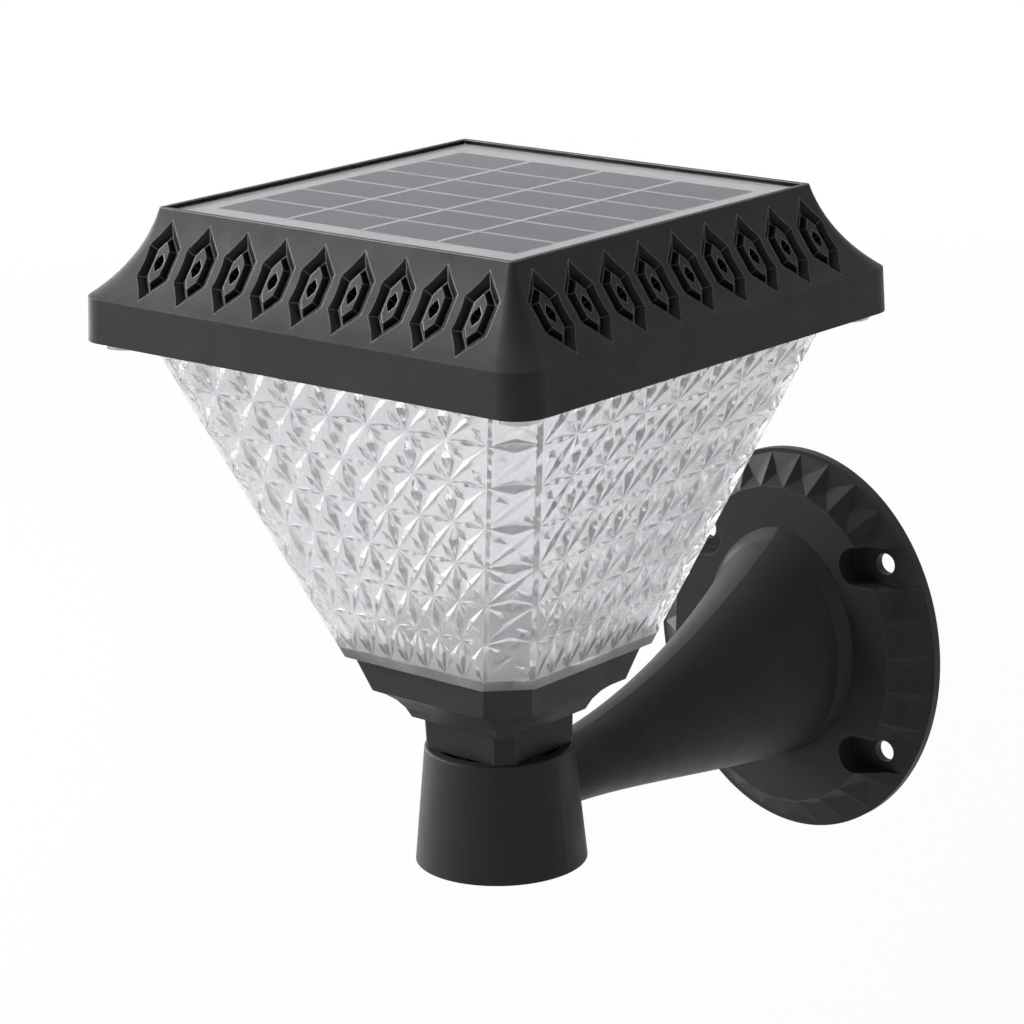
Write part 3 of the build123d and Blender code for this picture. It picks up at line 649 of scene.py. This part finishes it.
PHOSPHOR = MouldedPlastic(
    "yellow_phosphor",
    colour=(0.9, 0.78, 0.3),
    mottle=(0.85, 0.7, 0.22),
    edge_highlight=(0.95, 0.9, 0.7),
    rough_low=0.15,
    rough_high=0.3,
)
CELL_SLEEVE = MouldedPlastic(
    "blue_sleeve",
    colour=(0.03, 0.12, 0.3),
    mottle=(0.025, 0.1, 0.26),
    edge_highlight=(0.2, 0.3, 0.45),
    rough_low=0.2,
    rough_high=0.3,
)
LEAD_SLEEVE = MouldedPlastic(
    "red_lead",
    colour=(0.5, 0.03, 0.02),
    mottle=(0.42, 0.025, 0.02),
    edge_highlight=(0.6, 0.2, 0.18),
    rough_low=0.3,
    rough_high=0.4,
)
ZINC = BrightMetal("bright_zinc", (0.5, 0.5, 0.49), (0.36, 0.36, 0.35))
TINNED_STRIP = BrightMetal(
    "tinned_strip", (0.78, 0.78, 0.77), (0.66, 0.66, 0.65), rough_low=0.25, rough_high=0.4
)
TINNED_RIBBON = BrightMetal(
    "tinned_ribbon",
    colour=(0.36, 0.36, 0.355),
    tarnish=(0.3, 0.3, 0.295),
    rough_low=0.4,
    rough_high=0.5,
    metallic=0.2,
)
BRASS = BrightMetal("turned_brass", (0.72, 0.52, 0.22), (0.55, 0.38, 0.16))
RUBBER = SoftRubber("soft_rubber", grey(0.02), grey(0.035))
SOLDER_MASK = PrintedBoard("solder_mask", (0.01, 0.12, 0.05), (0.05, 0.2, 0.09))
SILICON = SiliconCell(
    "silicon_cell",
    colour=(0.03, 0.03, 0.044),
    crystal=(0.042, 0.041, 0.058),
    finger=(0.06, 0.06, 0.075),
    cut=(0.34, 0.34, 0.345),
)
PANEL_COVER = ClearMoulding(
    "cover_film",
    colour=(0.97, 0.97, 0.98),
    haze=(0.95, 0.95, 0.97),
    edge_highlight=grey(0.98),
    transmission=1.0,
    roughness=0.03,
    ior=1.07,
    ripple=40.0,
    ripple_depth=0.000005,
)
CLEAR_LENS = ClearMoulding(
    "faceted_clear",
    colour=(0.98, 0.975, 0.995),
    haze=(0.95, 0.945, 0.97),
    edge_highlight=grey(1.0),
    transmission=0.86,
    roughness=0.11,
    ripple=1100.0,
    ripple_depth=0.00007,
)
FROSTED_FLOOR = ClearMoulding(
    "frosted_floor",
    colour=(0.85, 0.85, 0.86),
    haze=(0.75, 0.75, 0.77),
    edge_highlight=grey(0.9),
    transmission=0.35,
    roughness=0.4,
)
# Grey rim strip: painted reflection of the black collar below the lens.
RIM_DARK_REFLECTION = ClearMoulding(
    "rim_painted_reflection",
    colour=(0.4, 0.39, 0.42),
    haze=(0.16, 0.155, 0.17),
    edge_highlight=(0.7, 0.7, 0.72),
    transmission=0.5,
    roughness=0.2,
)


def carried(sections: np.ndarray) -> Skin:
    """Closed skin over a section that is carried along a path, with a fan of triangles over each end.

    Args:
        sections: Points as stations by section by three. Each section is a closed loop,
            counterclockwise as seen from the path's end.

    Returns:
        Points, triangles and quads.
    """
    stations, count = sections.shape[:2]
    step = np.arange(count)
    after = (step + 1) % count
    first = count * np.arange(stations - 1)[:, None]
    quads = np.stack([step + first, after + first, after + first + count, step + first + count], -1)
    points = np.concatenate([sections.reshape(-1, 3), sections[[0, -1]].mean(1)])
    last = count * (stations - 1)
    foot = np.full(count, count * stations)
    fans = [np.stack([after, step, foot], 1), np.stack([step + last, after + last, foot + 1], 1)]
    return points, np.concatenate(fans), quads.reshape(-1, 4)


def joined(skins: list[Skin]) -> Skin:
    """One skin from several, with each one's point numbers moved past those before it."""
    starts = np.cumsum([0, *(len(points) for points, _, _ in skins)])
    return (
        np.concatenate([points for points, _, _ in skins]),
        np.concatenate([triangles + start for (_, triangles, _), start in zip(skins, starts)]),
        np.concatenate([quads + start for (_, _, quads), start in zip(skins, starts)]),
    )


def mesh_object(name: str, skin: Skin, material: Material) -> Object:
    """Make an object from a skin, with equal points merged.

    Args:
        name: Name of the piece.
        skin: Points in metres, triangles and quads.
        material: Material of the piece.

    Returns:
        The new object, at the origin.
    """
    points, triangles, quads = skin
    places, index = np.unique(np.round(points, MERGE_DIGITS), axis=0, return_inverse=True)
    index = index.reshape(-1)
    faces = index[triangles].tolist() + index[quads].tolist()
    mesh = bpy.data.meshes.new(name)
    mesh.from_pydata(places.tolist(), [], faces)
    mesh.validate()
    mesh.materials.append(material)
    made = bpy.data.objects.new(name, mesh)
    bpy.context.scene.collection.objects.link(made)
    return made


@dataclass(frozen=True)
class FacetCell:
    """One cell of the lens pattern, with places from 0 to 1 across and down and depths in metres.

    A star stands at each corner. From star to star, along every side and up the rising diagonal, lies
    a leaf-shaped groove that is widest and deepest half way. On the other diagonal a short leaf runs
    from each star to the groove that crosses it. The fields between the leaves are flat. The cell's
    lower half is its upper half turned by half a turn about the middle.
    """

    upright_half: float = 0.18
    upright_depth: float = 0.0009
    level_half: float = 0.08
    level_depth: float = 0.0005
    rising_half: float = 0.08
    rising_depth: float = 0.0006
    short_half: float = 0.09
    short_depth: float = 0.0005
    short_swell: float = 0.6

    def places(self) -> np.ndarray:
        """Points of the upper half, their partners in the lower half, and the middle.

        Returns:
            Place across and down of each point, from 0 to 1.
        """
        brink = 0.5 - self.rising_half
        swell = self.short_swell * brink
        aside = self.short_half
        points = {
            LeafPoint.STAR: (0, 0),
            LeafPoint.NEXT_STAR: (1, 0),
            LeafPoint.LEVEL: (0.5, 0),
            LeafPoint.UPRIGHT: (0, 0.5),
            LeafPoint.LEVEL_BRINK: (0.5, self.level_half),
            LeafPoint.UPRIGHT_BRINK: (self.upright_half, 0.5),
            LeafPoint.RISING_BRINK: (brink, brink),
            LeafPoint.SHORT: (swell, swell),
            LeafPoint.SHORT_ABOVE: (swell + aside, swell - aside),
            LeafPoint.SHORT_BELOW: (swell - aside, swell + aside),
        }
        upper = np.array([points[point] for point in LeafPoint])
        return np.concatenate([upper, 1.0 - upper, [(0.5, 0.5)]])

    def depths(self) -> np.ndarray:
        """Depth of each point below the wall: only the leaves' middle lines are sunk.

        Returns:
            The depths in metres.
        """
        upper = np.zeros(len(LeafPoint))
        upper[LeafPoint.LEVEL] = self.level_depth
        upper[LeafPoint.UPRIGHT] = self.upright_depth
        upper[LeafPoint.SHORT] = self.short_depth
        return np.concatenate([upper, upper, [self.rising_depth]])

    def faces(self) -> np.ndarray:
        """Triangles of the upper half and their partners: leaves first, then the flat fields.

        Returns:
            Three point numbers for each triangle.
        """
        half = len(LeafPoint)
        middle = 2 * half
        below = half + LeafPoint.NEXT_STAR
        star, next_star, level, upright, *others = LeafPoint
        level_brink, upright_brink, rising_brink, short, above, under = others
        leaves = [
            (star, level, level_brink), (level, next_star, level_brink),
            (upright, star, upright_brink), (below, upright, upright_brink),
            (below, rising_brink, middle), (rising_brink, next_star, middle),
            (star, above, short), (above, rising_brink, short),
            (rising_brink, under, short), (under, star, short),
        ]
        fields = [
            (star, level_brink, above), (level_brink, rising_brink, above),
            (level_brink, next_star, rising_brink), (star, under, upright_brink),
            (under, rising_brink, upright_brink), (rising_brink, below, upright_brink),
        ]
        upper = np.array(leaves + fields)
        lower = np.where(upper == middle, middle, (upper + half) % middle)
        return np.concatenate([upper, lower])


@dataclass
class Lens:
    """Clear faceted lens with its gasket: an upturned pyramid with cut corners, flange and floor."""

    reach: float = 0.108
    top_half: float = 0.0526
    bottom_half: float = 0.0265
    cut: float = 0.0075
    wall: float = 0.0025
    floor: float = 0.0024
    flange: float = 0.0024
    flange_corner: float = 0.00395
    rim: float = 0.0023
    columns: int = 8
    rows: int = 7
    walls: int = 8
    side_cell: FacetCell = FacetCell()
    corner_cell: FacetCell = FacetCell(
        level_half=0.18, level_depth=0.0009, rising_depth=0.00025, short_depth=0.0004
    )
    cap_screw_offset: float = 0.0527
    cap_hole: float = 0.0022
    base_screw_offset: float = 0.0135
    base_hole: float = 0.0017
    button_place: tuple[float, float] = (0.005285, 0.0548)
    button_hole: float = 0.00106
    hole_sides: int = 24
    weld: float = 2e-6
    floor_levels: tuple[float, ...] = (0.05, 0.95, 1.05)
    level_slots: tuple[int, ...] = (1, 2, 1, 0)

    def __post_init__(self) -> None:
        """Read the levels and the flange's half-width from the solid that the piece stands for."""
        low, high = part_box("lens")
        self.bottom = low.z
        self.flange_top = high.z
        self.flange_half = high.x
        self.top = self.flange_top - self.flange
        self.lean = (self.top_half - self.bottom_half) / (self.top - self.bottom)

    def half_at(self, height: np.ndarray | float) -> np.ndarray | float:
        """Half-width of the outer wall at a height: it grows evenly from the floor to the flange."""
        return self.bottom_half + (height - self.bottom) * self.lean

    def at_corner(self, wall: int) -> bool:
        """Whether a wall is a cut corner: every second one is."""
        return wall % 2 == 1

    def columns_of(self, wall: int) -> int:
        """Number of pattern columns on a wall: many on a side, one on a cut corner."""
        return 1 if self.at_corner(wall) else self.columns

    def outline(
        self, wall: int, across: np.ndarray, half: np.ndarray, cut: float, corner: Corner
    ) -> np.ndarray:
        """Points of one wall's part of a square ring with formed corners.

        Even walls are straight sides. Odd walls are corners: a straight cut from side to side, or a
        quarter circle. Each pair is turned by a quarter for the next side.

        Args:
            wall: Number of the wall, counted round from the right side.
            across: Share of the way along the wall.
            half: Half-width of the ring at each point.
            cut: Length that the corner takes off each side.
            corner: Form of the corner.

        Returns:
            X and Y of each point about the lamp's axis.
        """
        near = half - cut
        if not self.at_corner(wall):
            x, y = half + 0 * across, near * (2 * across - 1)
        elif corner is Corner.CUT:
            x, y = half - cut * across, near + cut * across
        else:
            angle = across * math.pi / 2
            x, y = near + cut * np.cos(angle), near + cut * np.sin(angle)
        turn = (wall // 2) * math.pi / 2
        c, s = round(math.cos(turn)), round(math.sin(turn))
        return np.stack([c * x - s * y, s * x + c * y], -1)

    def ring(self, half: float, cut: float, height: float, corner: Corner = Corner.CUT) -> np.ndarray:
        """Closed ring of points, two for each pattern column.

        Args:
            half: Half-width of the ring.
            cut: Size of its corners.
            height: Height above the plate's centre.
            corner: Form of the corners.

        Returns:
            The ring's points, in metres.
        """
        parts = []
        for wall in range(self.walls):
            count = 2 * self.columns_of(wall)
            across = np.arange(count) / count
            parts.append(self.outline(wall, across, np.full(count, half), cut, corner))
        flat = np.concatenate(parts)
        return np.column_stack([flat[:, 0], flat[:, 1] - self.reach, np.full(len(flat), height)])

    def facets(self, wall: int) -> Skin:
        """Pattern of one wall: every cell's points set in from the flat wall by their depths.

        Args:
            wall: Number of the wall.

        Returns:
            Points and triangles, with no quads.
        """
        columns = self.columns_of(wall)
        cell = self.corner_cell if self.at_corner(wall) else self.side_cell
        grids = np.meshgrid(np.arange(columns), np.arange(self.rows))
        column, row = (grid.reshape(-1, 1) for grid in grids)
        local = cell.places()
        across = (column + local[:, 0]) / columns
        down = (row + local[:, 1]) / self.rows
        inside = (across > 0) & (across < 1) & (down > 0) & (down < 1)
        depth = np.where(inside, cell.depths(), 0.0)
        height = self.top + (self.bottom + self.rim - self.top) * down
        flat = self.outline(wall, across, self.half_at(height), self.cut, Corner.CUT)
        lean = self.lean * (math.sqrt(2.0) if self.at_corner(wall) else 1.0)
        inward = depth / math.hypot(1.0, lean)
        angle = wall * 2 * math.pi / self.walls
        points = np.stack(
            [
                flat[..., 0] - inward * math.cos(angle),
                flat[..., 1] - inward * math.sin(angle) - self.reach,
                height + inward * lean,
            ],
            -1,
        )
        first = len(local) * np.arange(columns * self.rows)[:, None, None]
        triangles = cell.faces()[None] + first
        return points.reshape(-1, 3), triangles.reshape(-1, 3)[:, ::-1], NO_QUADS

    def shell_rings(self) -> tuple[list[np.ndarray], list[np.ndarray]]:
        """Rings of the plain parts: down the rim to the floor, and over the flange to the inner floor.

        Returns:
            The outer rings and the inner rings.
        """
        rim_top = self.bottom + self.rim
        floor_top = self.bottom + self.floor
        inner_half = self.top_half - self.wall
        inner_cut = self.cut - self.wall * (2 - math.sqrt(2))
        outer = [
            self.ring(self.half_at(rim_top), self.cut, rim_top),
            self.ring(self.bottom_half, self.cut, self.bottom),
        ]
        inner = [
            self.ring(self.top_half, self.cut, self.top),
            self.ring(self.flange_half, self.flange_corner, self.top, Corner.ROUND),
            self.ring(self.flange_half, self.flange_corner, self.flange_top, Corner.ROUND),
            self.ring(inner_half, inner_cut, self.flange_top),
            self.ring(inner_half, inner_cut, self.top),
            self.ring(self.half_at(floor_top) - self.wall, inner_cut, floor_top),
        ]
        return outer, inner

    def plain(self, rings: list[np.ndarray], turn: int) -> Skin:
        """Smooth skin from ring to ring, closed by a fan over the last one.

        Args:
            rings: Rings with the same number of points.
            turn: 1 or -1, which way round the faces run.

        Returns:
            Points, triangles and quads.
        """
        count = len(rings[0])
        step = np.arange(count)
        after = (step + 1) % count
        first = count * np.arange(len(rings) - 1)[:, None]
        quads = np.stack([step + first, step + first + count, after + first + count, after + first], -1)
        last = count * (len(rings) - 1)
        fan = np.stack([step + last, np.full(count, last + count), after + last], 1)
        points = np.concatenate([*rings, rings[-1].mean(0, keepdims=True)])
        return points, fan[:, ::turn], quads.reshape(-1, 4)[:, ::turn]

    def drills(self) -> Object:
        """Round bars where the lens has holes: each is a circle carried along Z, closed at both ends.

        Returns:
            One object that holds all the bars.
        """
        floor_top = self.bottom + self.floor
        groups = (
            (CORNER_SIGNS * self.cap_screw_offset, self.cap_hole, self.top, self.flange_top),
            (np.array([self.button_place]), self.button_hole, self.top, self.flange_top),
            (CORNER_SIGNS * self.base_screw_offset, self.base_hole, self.bottom, floor_top),
        )
        angle = 2 * np.pi * np.arange(self.hole_sides) / self.hole_sides
        circle = np.stack([np.cos(angle), np.sin(angle), 0 * angle], -1)
        bars = []
        for centres, radius, low, high in groups:
            ends = np.array([low - self.floor / 2, high + self.floor / 2])
            for x, y in centres:
                path = np.array([(x, y - self.reach, end) for end in ends])
                bars.append(carried(path[:, None] + radius * circle))
        return mesh_object("lens_drills", joined(bars), material_of(CLEAR_LENS))

    def drill(self, lens: Object) -> None:
        """Cut the screw and button holes out of the closed lens, and weld points that then coincide.

        Args:
            lens: The lens, which keeps the cut mesh.
        """
        bars = self.drills()
        cut = lens.modifiers.new("holes", "BOOLEAN")
        cut.operation = "DIFFERENCE"
        cut.solver = "EXACT"
        cut.object = bars
        cut_lens = lens.evaluated_get(bpy.context.evaluated_depsgraph_get())
        cut_mesh = bpy.data.meshes.new_from_object(cut_lens)
        welded = bmesh.new()
        welded.from_mesh(cut_mesh)
        bmesh.ops.remove_doubles(welded, verts=welded.verts, dist=self.weld)
        bmesh.ops.dissolve_degenerate(welded, edges=welded.edges, dist=self.weld)
        welded.to_mesh(cut_mesh)
        welded.free()
        lens.modifiers.clear()
        lens.data = cut_mesh
        bpy.data.objects.remove(bars)

    def frost(self, lens: Object) -> None:
        """Give the floor its frosted finish, and paint the plain rim round it grey for the reflection
        of the dark collar.

        The face's middle tells them apart: the floor's faces lie at its two levels, the rim's between.

        Args:
            lens: The finished lens.
        """
        mesh = lens.data
        mesh.materials.append(material_of(FROSTED_FLOOR))
        mesh.materials.append(material_of(RIM_DARK_REFLECTION))
        middles = np.empty(3 * len(mesh.polygons))
        mesh.polygons.foreach_get("center", middles)
        level = np.digitize((middles[2::3] - self.bottom) / self.floor, self.floor_levels)
        mesh.polygons.foreach_set("material_index", np.array(self.level_slots, np.int32)[level])

    def build(self) -> Object:
        """Build the lens as one closed mesh: faceted walls, rim, floor, inner walls and flange.

        Returns:
            The lens, riding on the lamp's head in place of its plain solid.
        """
        skins = [self.facets(wall) for wall in range(self.walls)]
        skins += [self.plain(rings, turn) for rings, turn in zip(self.shell_rings(), (1, -1))]
        lens = mesh_object("faceted_lens", joined(skins), material_of(CLEAR_LENS))
        self.drill(lens)
        self.frost(lens)
        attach(lens, "head")
        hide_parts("lens")
        LOG.info("built faceted_lens with %d faces", len(lens.data.polygons))
        dress(CLEAR_LENS, "lens")
        dress(RUBBER, "lens_gasket")
        return lens


@dataclass
class Roof:
    """Roof cap with its patterned sides, and the screws under its corners."""

    shell: Finish = ROOF_BLACK
    screws: Finish = ZINC

    def build(self) -> None:
        """Dress the cap and its screws."""
        dress(self.shell, "roof_cap")
        dress(self.screws, "cap_screws")


@dataclass
class SolarPanel:
    """Clear cover over silicon strips, tinned ribbons and a white back sheet, taped to the roof."""

    cover: Finish = PANEL_COVER
    cells: Finish = SILICON
    ribbons: Finish = TINNED_RIBBON
    sheet: Finish = WHITE_SHEET
    ribbon_count: int = 3
    ribbon_width: float = 0.0009
    ribbon_edge: float = 0.55
    ribbon_crown: float = 0.35
    solder_pitch: float = 0.0127
    solder_swell: float = 0.2
    stations: int = 73
    section_points: int = 7

    def ribbon_strips(self) -> Object:
        """Tinned ribbons: a flat section with a low crown, carried along Y over the whole cell field.

        The top is a parabola from edge to edge. Its crown swells once for every solder joint, and stays
        just under the clear cover.

        Returns:
            The ribbons, riding on the lamp's head in place of their plain solid.
        """
        low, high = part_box("cell_ribbons")
        thick = high.z - low.z
        half = self.ribbon_width / 2
        along = np.linspace(low.y, high.y, self.stations)[:, None]
        across = np.linspace(-1.0, 1.0, self.section_points)[None]
        wave = np.cos(2 * np.pi * along / self.solder_pitch)
        swell = 1 - self.solder_swell + self.solder_swell * wave
        top = low.z + thick * (self.ribbon_edge + self.ribbon_crown * (1 - across**2) * swell)
        skins = []
        for middle in np.linspace(low.x + half, high.x - half, self.ribbon_count):
            upper = np.stack(np.broadcast_arrays(middle + half * across, along, top), -1)
            under = upper[:, [-1, 0]] * (1, 1, 0) + (0, 0, low.z)
            skins.append(carried(np.concatenate([under, upper], 1)))
        ribbons = mesh_object("tinned_ribbons", joined(skins), material_of(self.ribbons))
        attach(ribbons, "head")
        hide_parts("cell_ribbons")
        LOG.info("built tinned_ribbons with %d faces", len(ribbons.data.polygons))
        return ribbons

    def build(self) -> None:
        """Build the ribbons, and dress the panel's other layers, its tape and its leads."""
        self.ribbon_strips()
        dress(self.cover, "panel_cover")
        dress(self.cells, "solar_cells")
        dress(self.ribbons, "cell_ribbons")
        dress(self.sheet, "panel_backsheet")
        dress(RUBBER, "panel_tape")
        dress(LEAD_SLEEVE, "panel_leads")


@dataclass
class LightEngine:
    """Parts above the lens: tray, light board, battery and control board."""

    tray: Finish = WHITE_MOULDING
    boards: Finish = SOLDER_MASK
    sleeve: Finish = CELL_SLEEVE

    def build(self) -> None:
        """Dress the tray, the boards, the battery and what holds them."""
        dress(self.tray, "inner_tray")
        dress(self.boards, "led_board", "control_board")
        dress(PHOSPHOR, "leds")
        dress(self.sleeve, "battery")
        dress(COMPONENT_BLACK, "battery_cradle", "board_parts")
        dress(TINNED_STRIP, "battery_contacts")
        dress(ZINC, "tray_screws", "led_screws", "board_screws")


@dataclass
class ModeSwitch:
    """Push button under the cap with its clip, plunger and switch."""

    button: Finish = BLACK

    def build(self) -> None:
        """Dress the button and the switch behind it."""
        dress(self.button, "mode_button")
        dress(TINNED_STRIP, "button_clip")
        dress(COMPONENT_BLACK, "switch_plunger", "switch_body")


@dataclass
class Neck:
    """Neck below the lens, with the insert, bolt and washer that hold it to the cup."""

    body: Finish = BLACK

    def build(self) -> None:
        """Dress the neck and its fixings."""
        dress(self.body, "neck")
        dress(ZINC, "base_screws", "clamp_bolt", "clamp_washer")
        dress(BRASS, "thread_insert")


@dataclass
class WallBracket:
    """Arm with its cup and foot, screwed to the faceted wall plate."""

    body: Finish = ARM_BLACK

    def build(self) -> None:
        """Dress the arm, the plate and the screws between them."""
        dress(self.body, "bracket_arm", "wall_plate")
        dress(ZINC, "arm_screws")


@dataclass
class View:
    """Camera that stands where the lamp was seen from."""

    azimuth: float = 40.806
    elevation: float = 15.755
    roll: float = -1.268
    distance: float = 0.76785
    aside: float = 0.004661
    lift: float = -0.03872
    focal_pixels: float = 3733.145
    frame_pixels: float = 1024.0
    sensor: float = 36.0
    nearest: float = 0.01
    farthest: float = 50.0
    target: tuple[float, float, float] = (0.0, -0.108, 0.095)

    def build(self) -> None:
        """Add the camera and make it the scene's own."""
        a, e, r = (math.radians(v) for v in (self.azimuth, self.elevation, self.roll))
        back = Vector((math.sin(a) * math.cos(e), -math.cos(a) * math.cos(e), math.sin(e)))
        right = (-back).cross(Vector((0, 0, 1))).normalized()
        up = right.cross(-back)
        right, up = right * math.cos(r) + up * math.sin(r), up * math.cos(r) - right * math.sin(r)
        place = Vector(self.target) + back * self.distance + right * self.aside + up * self.lift
        data = bpy.data.cameras.new("view")
        data.sensor_width = self.sensor
        data.lens = self.sensor * self.focal_pixels / self.frame_pixels
        data.clip_start, data.clip_end = self.nearest, self.farthest
        camera = bpy.data.objects.new("view", data)
        turn = Matrix((right, up, back)).transposed().to_4x4()
        camera.matrix_world = Matrix.Translation(place) @ turn
        bpy.context.scene.collection.objects.link(camera)
        bpy.context.scene.camera = camera


@dataclass(frozen=True)
class Lamp:
    """One soft studio lamp, aimed at the lamp head."""

    role: Role
    place: tuple[float, float, float]
    size: float
    power: float
    target: tuple[float, float, float] = (0.0, -0.08, 0.06)

    def build(self) -> None:
        """Add the lamp."""
        data = bpy.data.lights.new(self.role.value, "AREA")
        data.size = self.size
        data.energy = self.power
        light = bpy.data.objects.new(self.role.value, data)
        aim = Vector(self.target) - Vector(self.place)
        light.location = self.place
        light.rotation_mode = "QUATERNION"
        light.rotation_quaternion = aim.to_track_quat("-Z", "Y")
        bpy.context.scene.collection.objects.link(light)


@dataclass
class Studio:
    """Pale floor, white surroundings and soft lamps."""

    floor_height: float = -0.3
    floor_half: float = 6.0
    floor_fade: tuple[float, float, float, float] = (0.5, 2.0, 0.92, 1.0)
    floor_tone: float = 0.9
    ambient: float = 0.1
    ambient_tone: float = 0.9
    lamps: tuple[Lamp, ...] = (
        Lamp(Role.KEY, (-1.6, -1.0, 1.0), 1.6, 62.0),
        Lamp(Role.FILL, (1.6, -0.9, 0.5), 1.2, 1.5),
        Lamp(Role.RIM, (-1.6, 0.1, 0.1), 0.9, 13.0),
    )

    def seen(self, tree: NodeTree) -> NodeSocket:
        """Share that is 1 for rays from the camera, and those mirrored or bent on their way to it.

        Args:
            tree: Node tree to add to.

        Returns:
            The share.
        """
        path = tree.nodes.new("ShaderNodeLightPath")
        value = path.outputs["Is Camera Ray"]
        for name in ("Is Glossy Ray", "Is Transmission Ray"):
            most = tree.nodes.new("ShaderNodeMath")
            most.operation = "MAXIMUM"
            tree.links.new(value, most.inputs[0])
            tree.links.new(path.outputs[name], most.inputs[1])
            value = most.outputs[0]
        return value

    def far(self, tree: NodeTree) -> NodeSocket:
        """Share of the floor's own white, a little less near the lamp so that its shadow shows there.

        Args:
            tree: Node tree to add to.

        Returns:
            The share.
        """
        away = tree.nodes.new("ShaderNodeVectorMath")
        away.operation = "LENGTH"
        tree.links.new(tree.nodes.new("ShaderNodeTexCoord").outputs["Object"], away.inputs[0])
        fade = tree.nodes.new("ShaderNodeMapRange")
        for name, value in zip(RANGE_SOCKETS, self.floor_fade):
            fade.inputs[name].default_value = value
        tree.links.new(away.outputs["Value"], fade.inputs["Value"])
        return fade.outputs["Result"]

    def world(self) -> None:
        """Surroundings: white where they are seen, a plain soft grey where they only light."""
        world = bpy.data.worlds.new("surroundings")
        world.use_nodes = True
        tree = world.node_tree
        tree.nodes.clear()
        shades = []
        for tone, strength in ((self.ambient_tone, self.ambient), (1.0, 1.0)):
            shade = tree.nodes.new("ShaderNodeBackground")
            shade.inputs["Color"].default_value = (*grey(tone), 1.0)
            shade.inputs["Strength"].default_value = strength
            shades.append(shade)
        mix = tree.nodes.new("ShaderNodeMixShader")
        output = tree.nodes.new("ShaderNodeOutputWorld")
        tree.links.new(self.seen(tree), mix.inputs[0])
        tree.links.new(shades[0].outputs[0], mix.inputs[1])
        tree.links.new(shades[1].outputs[0], mix.inputs[2])
        tree.links.new(mix.outputs[0], output.inputs["Surface"])
        bpy.context.scene.world = world

    def floor(self) -> None:
        """Flat pale floor below the lamp, seen from above only, that takes a faint shadow."""
        across = np.array([-1.0, 1.0]) * self.floor_half
        x, y = (grid.reshape(-1) for grid in np.meshgrid(across, across))
        points = np.column_stack([x, y, np.full(4, self.floor_height)])
        material = bpy.data.materials.new("pale_floor")
        material.use_nodes = True
        tree = material.node_tree
        tree.nodes.clear()
        matte = tree.nodes.new("ShaderNodeBsdfDiffuse")
        matte.inputs["Color"].default_value = (*grey(self.floor_tone), 1.0)
        glow = tree.nodes.new("ShaderNodeEmission")
        clear = tree.nodes.new("ShaderNodeBsdfTransparent")
        share = tree.nodes.new("ShaderNodeMath")
        share.operation = "MULTIPLY"
        tree.links.new(self.seen(tree), share.inputs[0])
        tree.links.new(self.far(tree), share.inputs[1])
        lit = tree.nodes.new("ShaderNodeMixShader")
        tree.links.new(share.outputs[0], lit.inputs[0])
        tree.links.new(matte.outputs[0], lit.inputs[1])
        tree.links.new(glow.outputs[0], lit.inputs[2])
        sided = tree.nodes.new("ShaderNodeMixShader")
        under = tree.nodes.new("ShaderNodeNewGeometry").outputs["Backfacing"]
        output = tree.nodes.new("ShaderNodeOutputMaterial")
        tree.links.new(under, sided.inputs[0])
        tree.links.new(lit.outputs[0], sided.inputs[1])
        tree.links.new(clear.outputs[0], sided.inputs[2])
        tree.links.new(sided.outputs[0], output.inputs["Surface"])
        mesh_object("floor", (points, NO_TRIANGLES, np.array([[0, 1, 3, 2]])), material)

    def build(self) -> None:
        """Build the studio and set the plain view transform."""
        self.world()
        self.floor()
        for lamp in self.lamps:
            lamp.build()
        bpy.context.scene.view_settings.view_transform = "Standard"


def main() -> None:
    """Dress every solid, build the pieces that replace some, and set up the studio."""
    logging.basicConfig(level=logging.INFO)
    for part in (Roof(), SolarPanel(), Lens(), LightEngine(), ModeSwitch(), Neck(), WallBracket()):
        part.build()
    Studio().build()
    View().build()


if __name__ == "__main__":
    main()
